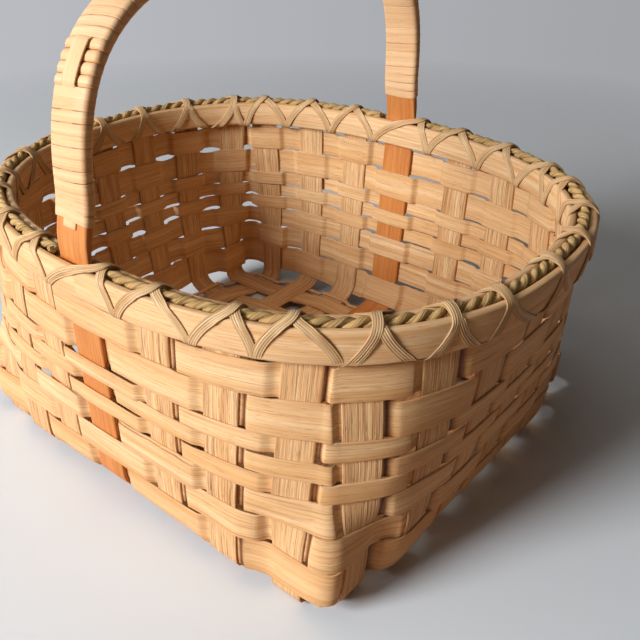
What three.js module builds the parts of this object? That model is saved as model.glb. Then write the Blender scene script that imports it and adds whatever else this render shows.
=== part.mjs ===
// A square splint basket with a fixed, wrapped bentwood handle.
// Millimetres, +Z up. The origin is on the floor under the middle of the base.
// The handle arches along Y. X is the long way across the basket.
import * as THREE from 'three';

// Splints
const STAKE_WIDTH = 16;
const STAKE_THICKNESS = 1.2;
const WEAVER_THICKNESS = 1.0;
const WEAVE_GAP = 0.3;
const SLACK_AT_STAKE = 0.8;

// Stake layout: counts and the free space between neighbours, measured along the wall
const STAKES_EACH_SIDE = 3;
const SPACE_BESIDE_HANDLE = 18.8;
const SPACE_IN_HANDLE_WALL = 15.3;
const SPACE_IN_END_WALL = 14.8;

// Rows of weaving from the rim down
const ROW_WIDTHS = [14.4, 15.6, 8.2, 8.2, 8.2, 12.8, 14.8, 15.6];
const LAST_NARROW_ROW = 4;
const ROW_GAP = 0.7;
const GAP_UNDER_NARROW_ROWS = 1.7;
const BOTTOM_ROW_LIFT = 11.5;
const LOCK_ROW_WIDTH = 3.6;
const LOCK_ROW_FROM_FOLD = 0.3;

// Plan of the body: room beyond the outermost stakes at the base, and how far the rim flares out past it
const CORNER_ROOM_X = 19;
const CORNER_ROOM_Y = 16;
const FLARE_X = 14;
const FLARE_Y = 3;
const RIM_SQUARENESS = 2.4;
const BASE_SQUARENESS = 5.5;
const FLARE_POWER = 1.55;

// Base: it stands on its four corners and rises between them
const BASE_RISE = 7;
const FLAT_CORNER_SHARE = 0.9;
const FOLD_RADIUS_MIDDLE = 11;
const FOLD_RADIUS_CORNER = 4.5;

// Rim
const RIM_HOOP_HEIGHT = 13.8;
const HOOP_THICKNESS = 3.5;
const HOOP_CLEARANCE = 0.9;
const HOOP_EDGE_ROUND = 1.3;
const STAKE_END_BELOW_RIM = 3;
const HIDDEN_ROW_BELOW_STAKE_ENDS = 0.4;
const HIDDEN_ROW_ABOVE_LACES = 0.9;
const FILLER_DIAMETER = 4.8;
const FILLER_CLEARANCE = 0.3;
const FILLER_SIDE_CLEARANCE = 0.4;
const FILLER_END_GAP = 1.5;
const LACE_WIDTH = 3.8;
const LACE_THICKNESS = 0.8;
const LACE_CLEARANCE = 0.8;
const LACE_SEAT = 0.35;
const LACE_ABOVE_ROW = 0.8;
const LACE_BESIDE_HANDLE = 2;

// Handle
const HANDLE_WIDTH = 19;
const HANDLE_TAIL_THICKNESS = 2.4;
const HANDLE_GRIP_THICKNESS = 4;
const HANDLE_EDGE_ROUND = 1.2;
const HANDLE_ASIDE = -6;
const HANDLE_RISE = 101.5;
const HANDLE_THICKENS_OVER = 10;
const ARCH_ROUNDNESS = 3.4;
const ARCH_LEAN_IN = 4;
const ARCH_LEANS_OVER = 28;
const BARE_LEG_ABOVE_RIM = 14;
const WRAP_TURNS = 24;
const WRAP_THICKNESS = 0.8;
const WRAP_CLEARANCE = 0.6;
const WRAP_TURN_GAP = 1.3;
const RUNNER_WIDTH = 8;
const RUNNER_THICKNESS = 0.8;
const RUNNER_CLEARANCE = 0.3;

// Fineness of the faceting
const PLAN_SAMPLES = 64;
const HOOP_STEPS_PER_QUARTER = 14;
const ARCH_STEPS = 56;
const FILLER_SIDES = 8;

// Worked out from the sizes above
const rows = [];
let depth = RIM_HOOP_HEIGHT + 2 * (LACE_THICKNESS + LACE_SEAT) + LACE_ABOVE_ROW;
for (const [index, width] of ROW_WIDTHS.entries()) {
  rows.push({ top: depth, bottom: depth + width });
  depth += width + (index === LAST_NARROW_ROW ? GAP_UNDER_NARROW_ROWS : ROW_GAP);
}
const bottomRow = rows.at(-1);
const hiddenRow = {
  top: STAKE_END_BELOW_RIM + HIDDEN_ROW_BELOW_STAKE_ENDS,
  bottom: RIM_HOOP_HEIGHT - HIDDEN_ROW_ABOVE_LACES,
};
const RIM_Z = bottomRow.bottom + BOTTOM_ROW_LIFT;
const handlePitch = HANDLE_WIDTH / 2 + SPACE_BESIDE_HANDLE + STAKE_WIDTH / 2;
const handleWallPitch = STAKE_WIDTH + SPACE_IN_HANDLE_WALL;
const endWallPitch = STAKE_WIDTH + SPACE_IN_END_WALL;
const stakeWallArc = (i) => Math.sign(i) * (handlePitch + (Math.abs(i) - 1) * handleWallPitch);
const handleWallArc = (i) => (i === 0 ? HANDLE_ASIDE : stakeWallArc(i));
const endWallArc = (j) => j * endWallPitch;
const outerX = handleWallArc(STAKES_EACH_SIDE);
const outerY = endWallArc(STAKES_EACH_SIDE);
const baseHalfX = outerX + STAKE_WIDTH / 2 + CORNER_ROOM_X;
const baseHalfY = outerY + STAKE_WIDTH / 2 + CORNER_ROOM_Y;
const crossing = (thicknessA, thicknessB) => (thicknessA + thicknessB) / 2 + WEAVE_GAP;
const baseMiddleZ = crossing(STAKE_THICKNESS, STAKE_THICKNESS) / 2 + STAKE_THICKNESS / 2;

// The plan of the wall at a depth below the rim: a superellipse, measured by arc from the middle of a wall
const planCache = new Map();
function plan(depthBelowRim) {
  const share = Math.min(1, Math.max(0, depthBelowRim / RIM_Z));
  const key = share.toFixed(6);
  if (planCache.has(key)) return planCache.get(key);
  const halfX = baseHalfX + FLARE_X * (1 - share ** FLARE_POWER);
  const halfY = baseHalfY + FLARE_Y * (1 - share ** FLARE_POWER);
  const power = RIM_SQUARENESS + (BASE_SQUARENESS - RIM_SQUARENESS) * share ** FLARE_POWER;
  const points = [];
  for (let step = 0; step <= PLAN_SAMPLES; step += 1) {
    const angle = (Math.PI / 2) * (step / PLAN_SAMPLES);
    const reach = ((Math.sin(angle) / halfX) ** power + (Math.cos(angle) / halfY) ** power) ** (-1 / power);
    points.push(new THREE.Vector2(reach * Math.sin(angle), -reach * Math.cos(angle)));
  }
  const arcs = [0];
  for (let step = 1; step <= PLAN_SAMPLES; step += 1) {
    arcs.push(arcs[step - 1] + points[step].distanceTo(points[step - 1]));
  }
  planCache.set(key, { points, arcs, length: arcs[PLAN_SAMPLES] });
  return planCache.get(key);
}

// A point of one quarter, from the middle of the -Y wall to that of the +X wall, with its outward direction
function quarterPoint(curve, arc) {
  let step = curve.arcs.findIndex((value) => value >= arc - 1e-9);
  step = Math.min(PLAN_SAMPLES, Math.max(1, step === -1 ? PLAN_SAMPLES : step));
  const mix = (arc - curve.arcs[step - 1]) / (curve.arcs[step] - curve.arcs[step - 1]);
  const at = (index) => {
    const before = curve.points[Math.max(0, index - 1)];
    const after = curve.points[Math.min(PLAN_SAMPLES, index + 1)];
    const along = after.clone().sub(before);
    if (index === 0) along.set(1, 0);
    if (index === PLAN_SAMPLES) along.set(0, 1);
    return along.normalize();
  };
  const along = at(step - 1).lerp(at(step), mix).normalize();
  const point = curve.points[step - 1].clone().lerp(curve.points[step], mix);
  return { point, outward: new THREE.Vector2(along.y, -along.x) };
}

// Walls are numbered 0 for -Y, 1 for +X, 2 for +Y and 3 for -X.
// Arc grows counterclockwise from each wall's middle.
function planPoint(depthBelowRim, wall, arc) {
  const curve = plan(depthBelowRim);
  const size = Math.abs(arc);
  const crossed = wall % 2 === 0 ? size : curve.length - size;
  const found = quarterPoint(curve, Math.min(curve.length, Math.max(0, crossed)));
  const flip = new THREE.Vector2(1, 1);
  if (wall === 0) flip.set(arc < 0 ? -1 : 1, 1);
  if (wall === 1) flip.set(1, arc > 0 ? -1 : 1);
  if (wall === 2) flip.set(arc < 0 ? 1 : -1, -1);
  if (wall === 3) flip.set(-1, arc > 0 ? 1 : -1);
  found.point.multiply(flip);
  found.outward.multiply(flip);
  return found;
}

const wallAxis = [[0, -1], [1, 0], [0, 1], [-1, 0]].map(([x, y]) => new THREE.Vector2(x, y));
const nearness = (value, outermost) => Math.min(1, (value / (outermost * FLAT_CORNER_SHARE)) ** 2);
const cornerness = (x, y) => nearness(x, outerX) * nearness(y, outerY);
const baseHeight = (x, y) => baseMiddleZ + BASE_RISE * (1 - cornerness(x, y));

// A frame of the wall at a depth measured down it: a point, and the directions across and outward.
// A squareness of 1 turns the frame square to the wall's own axis, as a stake is where it folds under.
function wallFrame(wall, arc, down, squareness = 0) {
  const { point, outward } = planPoint(down, wall, arc);
  const corner = cornerness(point.x, point.y);
  const radius = FOLD_RADIUS_MIDDLE + (FOLD_RADIUS_CORNER - FOLD_RADIUS_MIDDLE) * corner;
  const foldStart = RIM_Z - baseHeight(point.x, point.y) - radius;
  const turn = Math.min(Math.PI / 2, Math.max(0, (down - foldStart) / radius));
  const flat = outward.clone().lerp(wallAxis[wall], squareness).normalize();
  const inset = radius * (1 - Math.cos(turn));
  const height = turn > 0 ? RIM_Z - foldStart - radius * Math.sin(turn) : RIM_Z - down;
  return {
    point: new THREE.Vector3(point.x - flat.x * inset, point.y - flat.y * inset, height),
    across: new THREE.Vector3(-flat.y, flat.x, 0),
    outward: new THREE.Vector3(flat.x * Math.cos(turn), flat.y * Math.cos(turn), -Math.sin(turn)),
    foldEnd: foldStart + (radius * Math.PI) / 2,
  };
}

// Stakes square up to their wall's axis on the way down
const squareAt = (down) => THREE.MathUtils.smoothstep(down, rows[LAST_NARROW_ROW].bottom, bottomRow.top);
const stakeFrame = (stake, down) => wallFrame(stake.wall, stake.arc, down, squareAt(down));

// All stake ends in order round the basket, counterclockwise from the handle leg on the -Y wall
const ring = [];
for (let wall = 0; wall < 4; wall += 1) {
  const counts = wall === 0 ? [0, STAKES_EACH_SIDE] : [-STAKES_EACH_SIDE, STAKES_EACH_SIDE];
  const arcOf = wall % 2 === 0 ? handleWallArc : endWallArc;
  for (let i = counts[0]; i <= counts[1]; i += 1) {
    const arc = wall < 2 ? arcOf(i) : -arcOf(-i);
    ring.push({ wall, number: i, arc, isHandle: wall % 2 === 0 && i === 0 });
  }
}
for (let i = -STAKES_EACH_SIDE; i < 0; i += 1) {
  ring.push({ wall: 0, number: i, arc: handleWallArc(i), isHandle: false });
}
for (const [index, stake] of ring.entries()) {
  stake.order = index;
  stake.half = (stake.isHandle ? HANDLE_WIDTH : STAKE_WIDTH) / 2;
  stake.thickness = stake.isHandle ? HANDLE_TAIL_THICKNESS : STAKE_THICKNESS;
}

// A closed solid from section loops that all have the same number of points. Opposite faces of a strip that
// twists one way or the other are split along the same diagonal, so that it keeps its thickness.
function sweep(sections, closed = false, twist = 0) {
  const sides = sections[0].length;
  const positions = sections.flatMap((section) => section.flatMap((p) => [p.x, p.y, p.z]));
  const faces = [];
  const last = closed ? sections.length : sections.length - 1;
  for (let step = 0; step < last; step += 1) {
    const here = step * sides;
    const next = ((step + 1) % sections.length) * sides;
    for (let side = 0; side < sides; side += 1) {
      const turn = (side + 1) % sides;
      const [a, b, c, d] = [here + side, here + turn, next + turn, next + side];
      if (twist !== 0 && (side < sides / 2) === (twist < 0)) faces.push(a, b, d, b, c, d);
      else faces.push(a, b, c, a, c, d);
    }
  }
  if (!closed) {
    const end = (sections.length - 1) * sides;
    for (let side = 1; side < sides - 1; side += 1) {
      faces.push(0, side + 1, side, end, end + side, end + side + 1);
    }
  }
  if (signedVolume(positions, faces) < 0) faces.reverse();
  const geometry = new THREE.BufferGeometry();
  geometry.setAttribute('position', new THREE.Float32BufferAttribute(positions, 3));
  geometry.setIndex(faces);
  geometry.computeVertexNormals();
  return geometry;
}

function signedVolume(positions, faces) {
  const corner = (index) => new THREE.Vector3().fromArray(positions, index * 3);
  let total = 0;
  for (let face = 0; face < faces.length; face += 3) {
    total += corner(faces[face]).dot(corner(faces[face + 1]).cross(corner(faces[face + 2])));
  }
  return total / 6;
}

// A flat strip's section: across and outward are unit vectors
function flatSection(centre, across, outward, width, thickness) {
  const place = (u, v) => centre.clone().addScaledVector(across, u).addScaledVector(outward, v);
  const [w, t] = [width / 2, thickness / 2];
  return [place(-w, -t), place(w, -t), place(w, t), place(-w, t)];
}

// The handle's section has its edges sloped off to a ridge along each side
function handleSection(centre, across, outward, thickness) {
  const place = (u, v) => centre.clone().addScaledVector(across, u).addScaledVector(outward, v);
  const half = HANDLE_WIDTH / 2;
  const flat = half - HANDLE_EDGE_ROUND;
  const t = thickness / 2;
  const corners = [[-half, 0], [-flat, -t], [flat, -t], [half, 0], [flat, t], [-flat, t]];
  return corners.map(([u, v]) => place(u, v));
}

// How far down the wall a stake is bent: row edges, then the fold
function stakeDepths(stake) {
  const list = [STAKE_END_BELOW_RIM, RIM_HOOP_HEIGHT, ...rows.map((row) => row.bottom)];
  list.splice(-1, 0, (bottomRow.top + bottomRow.bottom) / 2);
  const end = stakeFrame(stake, bottomRow.bottom).foldEnd;
  list.push((bottomRow.bottom + end) / 2, end);
  return list;
}

const stakeIsOutside = (stake, row) => (stake.order + row) % 2 === 0;

// Where each stake lies in the base, as the middle of its fold's end
const baseLine = (wall, arc) => {
  const frame = stakeFrame({ wall, arc }, stakeFrame({ wall, arc }, bottomRow.bottom).foldEnd);
  return wall % 2 === 0 ? frame.point.x : frame.point.y;
};
const lineX = (i) => baseLine(0, handleWallArc(i));
const lineY = (j) => baseLine(1, endWallArc(j));
const numbers = Array.from({ length: 2 * STAKES_EACH_SIDE + 1 }, (_, k) => k - STAKES_EACH_SIDE);
const thicknessOf = (i) => (i === 0 ? HANDLE_TAIL_THICKNESS : STAKE_THICKNESS);
const widthOf = (i) => (i === 0 ? HANDLE_WIDTH : STAKE_WIDTH);

// How far a stake is bent up where it crosses another in the base. The handle hoop is too stiff to bend.
function crossingShift(alongY, i, j) {
  const shareOfBend = i === 0 ? Number(!alongY) : 0.5;
  const side = ((i + j) % 2 === 0 ? -1 : 1) * (alongY ? 1 : -1);
  return crossing(thicknessOf(i), STAKE_THICKNESS) * shareOfBend * side;
}

// The same for the outermost crossing of a stake on one wall, which its fold leads into
function foldShift({ wall, number }) {
  const alongY = wall % 2 === 0;
  const own = wall < 2 ? number : -number;
  const outermost = wall === 0 || wall === 3 ? -STAKES_EACH_SIDE : STAKES_EACH_SIDE;
  return alongY ? crossingShift(true, own, outermost) : crossingShift(false, outermost, own);
}

// Stations of a stake from one rim, through the base, to the other rim
function stakeStations(alongY, number) {
  const arc = alongY ? handleWallArc(number) : endWallArc(number);
  const firstWall = alongY ? 0 : 1;
  const first = { wall: firstWall, arc, number };
  const second = { wall: firstWall + 2, arc: -arc, number: -number };
  const wallStations = (stake) => {
    const list = stakeDepths(stake).map((down) => {
      const frame = stakeFrame(stake, down);
      return { centre: frame.point, across: frame.across, outward: frame.outward };
    });
    list.at(-1).centre.z += foldShift(stake);
    return list;
  };
  const up = wallStations(second).reverse();
  for (const station of up) station.across.negate();
  const across = up[0].across.clone();
  const base = [];
  const down = new THREE.Vector3(0, 0, -1);
  const order = alongY ? numbers : [...numbers].reverse();
  for (const other of order) {
    const x = alongY ? lineX(number) : lineX(other);
    const y = alongY ? lineY(other) : lineY(number);
    const i = alongY ? number : other;
    const j = alongY ? other : number;
    const shift = crossingShift(alongY, i, j);
    const half = (alongY ? STAKE_WIDTH : widthOf(other)) / 2 + SLACK_AT_STAKE / 2;
    const towards = alongY ? 1 : -1;
    for (const end of [-1, 1]) {
      const centre = new THREE.Vector3(x, y, baseHeight(x, y) + shift);
      if (alongY) centre.y += end * half * towards;
      else centre.x += end * half * towards;
      base.push({ centre, across: across.clone(), outward: down.clone() });
    }
  }
  return [...wallStations(first), ...base, ...up];
}

function stakeGeometry(alongY, number) {
  const stations = stakeStations(alongY, number);
  return sweep(stations.map((s) => flatSection(s.centre, s.across, s.outward, STAKE_WIDTH, STAKE_THICKNESS)));
}

// A strip that is bent flat against each stake and crosses from face to face in the space between two stakes.
// frameAt gives the frame of a stake at a level, and the levels run across the strip's width.
function wovenRing(row, levels, frameAt) {
  const corners = [...levels.map((level) => [level, 1]), ...levels.map((level) => [level, -1]).reverse()];
  const sections = [];
  for (const [order, stake] of ring.entries()) {
    const side = (stakeIsOutside(stake, row) ? -1 : 1) * crossing(stake.thickness, WEAVER_THICKNESS);
    for (const end of [-1, 1]) {
      sections.push(corners.map(([level, face]) => {
        const { point, across, outward } = frameAt(stake, level);
        point.addScaledVector(across, end * (stake.half + SLACK_AT_STAKE));
        point.addScaledVector(outward, side + (face * WEAVER_THICKNESS) / 2);
        return { point, across };
      }));
    }
    if (ring[(order + 1) % ring.length].wall !== stake.wall) sections.push(null);
  }
  for (const [index, section] of sections.entries()) {
    if (section) continue;
    const next = sections[index + 1];
    const bend = sections[index - 1].map((from, corner) => roundedCorner(from, next[corner]));
    sections[index] = bend.map((point) => ({ point }));
  }
  return sweep(sections.map((section) => section.map(({ point }) => point)), true);
}

// The middle of the round bend that joins two straight runs, each given by a point and its direction
function roundedCorner(from, to) {
  const reach = from.point.distanceTo(to.point) / 8;
  const middle = from.point.clone().lerp(to.point, 0.5);
  return middle.addScaledVector(from.across, reach).addScaledVector(to.across, -reach);
}

const weaverGeometry = (row, levels) => wovenRing(row, levels, stakeFrame);

// The lock row lies flat in the base, between the stakes' folds and their first crossings
function lockRowGeometry() {
  const start = LOCK_ROW_FROM_FOLD;
  return wovenRing(rows.length + 1, [start, start + LOCK_ROW_WIDTH], (stake, inward) => {
    const frame = stakeFrame(stake, stakeFrame(stake, bottomRow.bottom).foldEnd);
    frame.point.add(new THREE.Vector3(-frame.across.y * inward, frame.across.x * inward, foldShift(stake)));
    return frame;
  });
}

// Places all round the rim, as a run of arc from the handle leg on the -Y wall
const RIM_MIDDLE = RIM_HOOP_HEIGHT / 2;
function rimFrame(run, down) {
  const length = plan(down).length;
  const share = run / plan(RIM_MIDDLE).length;
  const wall = ((Math.round(share) % 4) + 4) % 4;
  const arc = (share - Math.round(share)) * length;
  return wallFrame(wall, arc, down);
}
const quarterRun = plan(RIM_MIDDLE).length;
const stakeRun = (order) => {
  const stake = ring[order % ring.length];
  const lap = Math.floor(order / ring.length) + (stake.wall === 0 && stake.number < 0 ? 1 : 0);
  return stake.arc + quarterRun * (stake.wall + 4 * lap);
};

const stackHalf = crossing(STAKE_THICKNESS, WEAVER_THICKNESS) + WEAVER_THICKNESS / 2;
const hoopInner = Math.max(stackHalf + HOOP_CLEARANCE, FILLER_DIAMETER / 2 + FILLER_SIDE_CLEARANCE);
const hoopOuter = hoopInner + HOOP_THICKNESS;

// A hoop's section has its two corners on the side of the lacing cut off
function hoopGeometry(side) {
  const shoulder = hoopOuter - HOOP_EDGE_ROUND;
  const upper = [[0, hoopInner], [0, shoulder], [HOOP_EDGE_ROUND, hoopOuter]];
  const outline = [...upper, ...upper.map(([down, out]) => [RIM_HOOP_HEIGHT - down, out]).reverse()];
  const sections = [];
  for (let step = 0; step < 4 * HOOP_STEPS_PER_QUARTER; step += 1) {
    const run = (step / HOOP_STEPS_PER_QUARTER) * quarterRun;
    sections.push(outline.map(([down, out]) => {
      const frame = rimFrame(run, down);
      return frame.point.addScaledVector(frame.outward, side * out);
    }));
  }
  return sweep(sections, true);
}

// The filler lies in the channel over the stake ends, from the handle leg on one wall to that on the other
const fillerZ = RIM_Z - STAKE_END_BELOW_RIM + FILLER_CLEARANCE + FILLER_DIAMETER / 2;
function fillerGeometry(firstLeg, nextLeg) {
  const beside = HANDLE_WIDTH / 2 + FILLER_END_GAP + FILLER_DIAMETER / 2;
  const [start, end] = [stakeRun(firstLeg) + beside, stakeRun(nextLeg) - beside];
  const hoopStep = quarterRun / HOOP_STEPS_PER_QUARTER;
  const runs = [start];
  const firstCorner = Math.floor(start / hoopStep) + 1;
  for (let run = firstCorner * hoopStep; run < end; run += hoopStep) runs.push(run);
  runs.push(end);
  const sections = [];
  for (const run of runs) {
    const frame = rimFrame(run, RIM_MIDDLE);
    const section = [];
    for (let side = 0; side < FILLER_SIDES; side += 1) {
      const angle = (2 * Math.PI * (side + 0.5)) / FILLER_SIDES;
      const radius = FILLER_DIAMETER / 2;
      const point = frame.point.clone().addScaledVector(frame.outward, radius * Math.cos(angle));
      section.push(point.setZ(fillerZ + radius * Math.sin(angle)));
    }
    sections.push(section);
  }
  return sweep(sections);
}

// Where the laces dive under the rim, in the space after a stake, and where they go over it
const spaceRun = (order) => {
  const [here, next] = [ring[order % ring.length], ring[(order + 1) % ring.length]];
  return (stakeRun(order) + here.half + stakeRun(order + 1) - next.half) / 2;
};
function topRun(order) {
  const stake = ring[order % ring.length];
  if (!stake.isHandle) return stakeRun(order);
  const beside = stake.half + LACE_WIDTH / 2 + LACE_BESIDE_HANDLE;
  return stakeRun(order) + (stake.wall === 0 ? beside : -beside);
}

// A lace winds round the rim for half the way about. It rises outside and falls inside, or the reverse.
// A place of its climb is the distance out of the wall, the height, the share of the way up, and the face.
function laceStations(rises, layer, firstOrder) {
  const layerStep = layer * (LACE_THICKNESS + LACE_SEAT);
  const out = hoopOuter + LACE_CLEARANCE + LACE_THICKNESS / 2 + layerStep;
  const under = RIM_Z - RIM_HOOP_HEIGHT - LACE_SEAT - LACE_THICKNESS / 2 - layerStep;
  const over = fillerZ + FILLER_DIAMETER / 2 + LACE_SEAT + LACE_THICKNESS / 2 + layerStep;
  const shoulder = hoopOuter - HOOP_EDGE_ROUND + layerStep / 2;
  const low = RIM_Z - RIM_HOOP_HEIGHT - LACE_SEAT;
  const high = RIM_Z + LACE_SEAT + layerStep;
  const crest = FILLER_DIAMETER / 2 + HOOP_EDGE_ROUND + layerStep / 2;
  const climb = [
    [shoulder, under, 0.1, 0, -1],
    [out, low, 0.2, 1, 0],
    [out, high, 0.86, 1, 0],
    [crest, over, 0.95, 0, 1],
  ];
  const drop = climb.map(([across, z, share, faceOut, faceUp]) => [-across, z, share, -faceOut, faceUp]);
  const turn = [...climb, ...drop.reverse()];
  const path = [];
  for (let order = firstOrder; order < firstOrder + ring.length / 2; order += 1) {
    const [start, top, end] = [spaceRun(order), topRun(order + 1), spaceRun(order + 1)];
    for (const [index, [across, z, share, faceOut, faceUp]] of turn.entries()) {
      const foot = index < climb.length ? start : end;
      const frame = rimFrame(foot + (top - foot) * share, RIM_MIDDLE);
      const sign = rises ? 1 : -1;
      path.push({
        centre: frame.point.clone().addScaledVector(frame.outward, sign * across).setZ(z),
        face: frame.outward.clone().multiplyScalar(sign * faceOut).setZ(faceUp).normalize(),
      });
    }
  }
  for (const [index, station] of path.entries()) {
    const before = path[Math.max(0, index - 1)].centre;
    const after = path[Math.min(path.length - 1, index + 1)].centre;
    const along = after.clone().sub(before).normalize();
    station.across = along.clone().cross(station.face).normalize();
    station.face = station.across.clone().cross(along).normalize();
  }
  return path;
}

const ribbon = (path, width, thickness) =>
  path.map((station) => flatSection(station.centre, station.across, station.face, width, thickness));

// The least distance between corner points of a wound strip that are at least this many stations apart
function leastSelfGap(sections, apart) {
  let least = Infinity;
  for (let a = 0; a < sections.length; a += 1) {
    for (let b = a + apart; b < sections.length; b += 1) {
      for (const p of sections[a]) for (const q of sections[b]) least = Math.min(least, p.distanceTo(q));
    }
  }
  return least;
}

// The handle's middle line over the basket, from the rim on the -Y side to the rim on the +Y side.
// Both legs lean in a little just above the rim.
const archFoot = wallFrame(0, HANDLE_ASIDE, 0).point;
function archPoint(share) {
  const angle = Math.PI * share;
  const c = Math.cos(angle);
  const rise = HANDLE_RISE * Math.sin(angle) ** (2 / ARCH_ROUNDNESS);
  const halfSpan = -archFoot.y - ARCH_LEAN_IN * THREE.MathUtils.smoothstep(rise, 0, ARCH_LEANS_OVER);
  const y = -Math.sign(c) * halfSpan * Math.abs(c) ** (2 / ARCH_ROUNDNESS);
  return new THREE.Vector3(archFoot.x, y, RIM_Z + rise);
}
const ARCH_TABLE_STEPS = 400;
const archTable = Array.from({ length: ARCH_TABLE_STEPS + 1 }, (_, k) => archPoint(k / ARCH_TABLE_STEPS));
const archLengths = [0];
for (let k = 1; k <= ARCH_TABLE_STEPS; k += 1) {
  archLengths.push(archLengths[k - 1] + archTable[k].distanceTo(archTable[k - 1]));
}
const archLength = archLengths[ARCH_TABLE_STEPS];
function archFrame(length) {
  let k = archLengths.findIndex((value) => value >= length);
  k = Math.min(ARCH_TABLE_STEPS, Math.max(1, k));
  const mix = (length - archLengths[k - 1]) / (archLengths[k] - archLengths[k - 1]);
  const centre = archTable[k - 1].clone().lerp(archTable[k], mix);
  const ahead = archTable[Math.min(ARCH_TABLE_STEPS, k + 2)];
  const behind = archTable[Math.max(0, k - 3)];
  const along = ahead.clone().sub(behind).normalize();
  return { centre, along, outward: new THREE.Vector3(0, -along.z, along.y) };
}
const gripShare = (height) => THREE.MathUtils.smoothstep(height - RIM_Z, 0, HANDLE_THICKENS_OVER);
const gripThickness = (height) =>
  THREE.MathUtils.lerp(HANDLE_TAIL_THICKNESS, HANDLE_GRIP_THICKNESS, gripShare(height));

function handleGeometry() {
  const sections = stakeStations(true, 0).slice(1, -1)
    .map((station) => handleSection(station.centre, station.across, station.outward, HANDLE_TAIL_THICKNESS));
  const across = new THREE.Vector3(1, 0, 0);
  for (let step = 0; step <= ARCH_STEPS; step += 1) {
    const frame = archFrame(archLength * (1 - step / ARCH_STEPS));
    sections.push(handleSection(frame.centre, across, frame.outward, gripThickness(frame.centre.z)));
  }
  return sweep(sections, true);
}

// The wrap goes round the handle and the runner that lies on the handle's outer face
const wrapStart = archLengths[archTable.findIndex((p) => p.z >= RIM_Z + BARE_LEG_ABOVE_RIM)];
const wrapPitch = (archLength - 2 * wrapStart) / WRAP_TURNS;
function wrapStations() {
  const off = WRAP_CLEARANCE + WRAP_THICKNESS / 2;
  const side = HANDLE_WIDTH / 2 + off;
  const bend = HANDLE_GRIP_THICKNESS / 2 - HANDLE_EDGE_ROUND;
  const flat = side - HANDLE_EDGE_ROUND - off / 2;
  const inner = HANDLE_GRIP_THICKNESS / 2 + off;
  const outer = inner + RUNNER_CLEARANCE + RUNNER_THICKNESS;
  const turn = [
    [side, bend, 1, 0.3],
    [flat, outer, 0.5, 1],
    [-flat, outer, -0.5, 1],
    [-side, bend, -1, 0.3],
    [-side, -bend, -1, -0.3],
    [-flat, -inner, -0.5, -1],
    [flat, -inner, 0.5, -1],
    [side, -bend, 1, -0.3],
  ];
  const path = [];
  const firstMiddle = wrapStart + wrapPitch / 2;
  for (let index = 0; index <= (WRAP_TURNS - 1) * turn.length; index += 1) {
    const [x, out, faceX, faceOut] = turn[index % turn.length];
    const frame = archFrame(firstMiddle + (wrapPitch * index) / turn.length);
    const centre = frame.centre.clone().addScaledVector(frame.outward, out);
    centre.x -= x;
    const face = frame.outward.clone().multiplyScalar(faceOut);
    face.x -= faceX;
    path.push({ centre, across: frame.along, face: face.normalize() });
  }
  return path;
}

function runnerGeometry() {
  const middle = HANDLE_GRIP_THICKNESS / 2 + RUNNER_CLEARANCE + RUNNER_THICKNESS / 2;
  const across = new THREE.Vector3(1, 0, 0);
  const sections = [];
  for (let step = 0; step <= ARCH_STEPS; step += 1) {
    const frame = archFrame(wrapStart + (archLength - 2 * wrapStart) * (step / ARCH_STEPS));
    const centre = frame.centre.addScaledVector(frame.outward, middle);
    sections.push(flatSection(centre, across, frame.outward, RUNNER_WIDTH, RUNNER_THICKNESS));
  }
  return sweep(sections);
}

// Materials
const finish = (color, roughness) => new THREE.MeshStandardMaterial({ color, roughness, metalness: 0 });
const pale = finish(0xd9b17c, 0.62);
const warm = finish(0xcf9f66, 0.62);
const bentwood = finish(0xb97a3e, 0.5);
const grass = finish(0xb49a63, 0.8);
const lacing = finish(0xcbb48c, 0.6);
const binding = finish(0xe0bf90, 0.6);

const group = new THREE.Group();
function add(name, geometry, material) {
  const mesh = new THREE.Mesh(geometry, material);
  mesh.name = name;
  group.add(mesh);
}

// Assembly
add('handle_hoop', handleGeometry(), bentwood);
let besideCount = 0;
for (const i of numbers) {
  if (i === 0) continue;
  besideCount += 1;
  add(`stake_beside_handle_${besideCount}`, stakeGeometry(true, i), pale);
}
for (const [index, j] of numbers.entries()) add(`stake_across_${index + 1}`, stakeGeometry(false, j), pale);

add('weaver_behind_rim', weaverGeometry(0, [hiddenRow.top, hiddenRow.bottom]), warm);
for (const [index, row] of rows.entries()) {
  const middle = (row.top + row.bottom) / 2;
  const levels = row === bottomRow ? [row.top, middle, row.bottom] : [row.top, row.bottom];
  add(`weaver_row_${index + 1}`, weaverGeometry(index + 1, levels), warm);
}

add('weaver_base_lock', lockRowGeometry(), warm);
add('rim_outer_hoop', hoopGeometry(1), pale);
add('rim_inner_hoop', hoopGeometry(-1), pale);
add('rim_filler_right', fillerGeometry(0, ring.length / 2), grass);
add('rim_filler_left', fillerGeometry(ring.length / 2, ring.length), grass);
const firstOrders = { back: ring.length / 4, front: (3 * ring.length) / 4 };
for (const [name, rises, layer] of [['rising', true, 1], ['falling', false, 0]]) {
  for (const [side, firstOrder] of Object.entries(firstOrders)) {
    const sections = ribbon(laceStations(rises, layer, firstOrder), LACE_WIDTH, LACE_THICKNESS);
    const gap = leastSelfGap(sections, 5).toFixed(2);
    console.log(`least gap of the ${name} ${side} lace to itself: ${gap} mm`);
    add(`lace_${name}_${side}`, sweep(sections, false, rises ? 1 : -1), lacing);
  }
}

const wrapWidth = wrapPitch - WRAP_TURN_GAP;
const wrapSections = ribbon(wrapStations(), wrapWidth, WRAP_THICKNESS);
console.log(`least gap of the handle wrap to itself: ${leastSelfGap(wrapSections, 7).toFixed(2)} mm`);
add('handle_wrap', sweep(wrapSections), binding);
add('handle_runner', runnerGeometry(), binding);

export default group;
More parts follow.
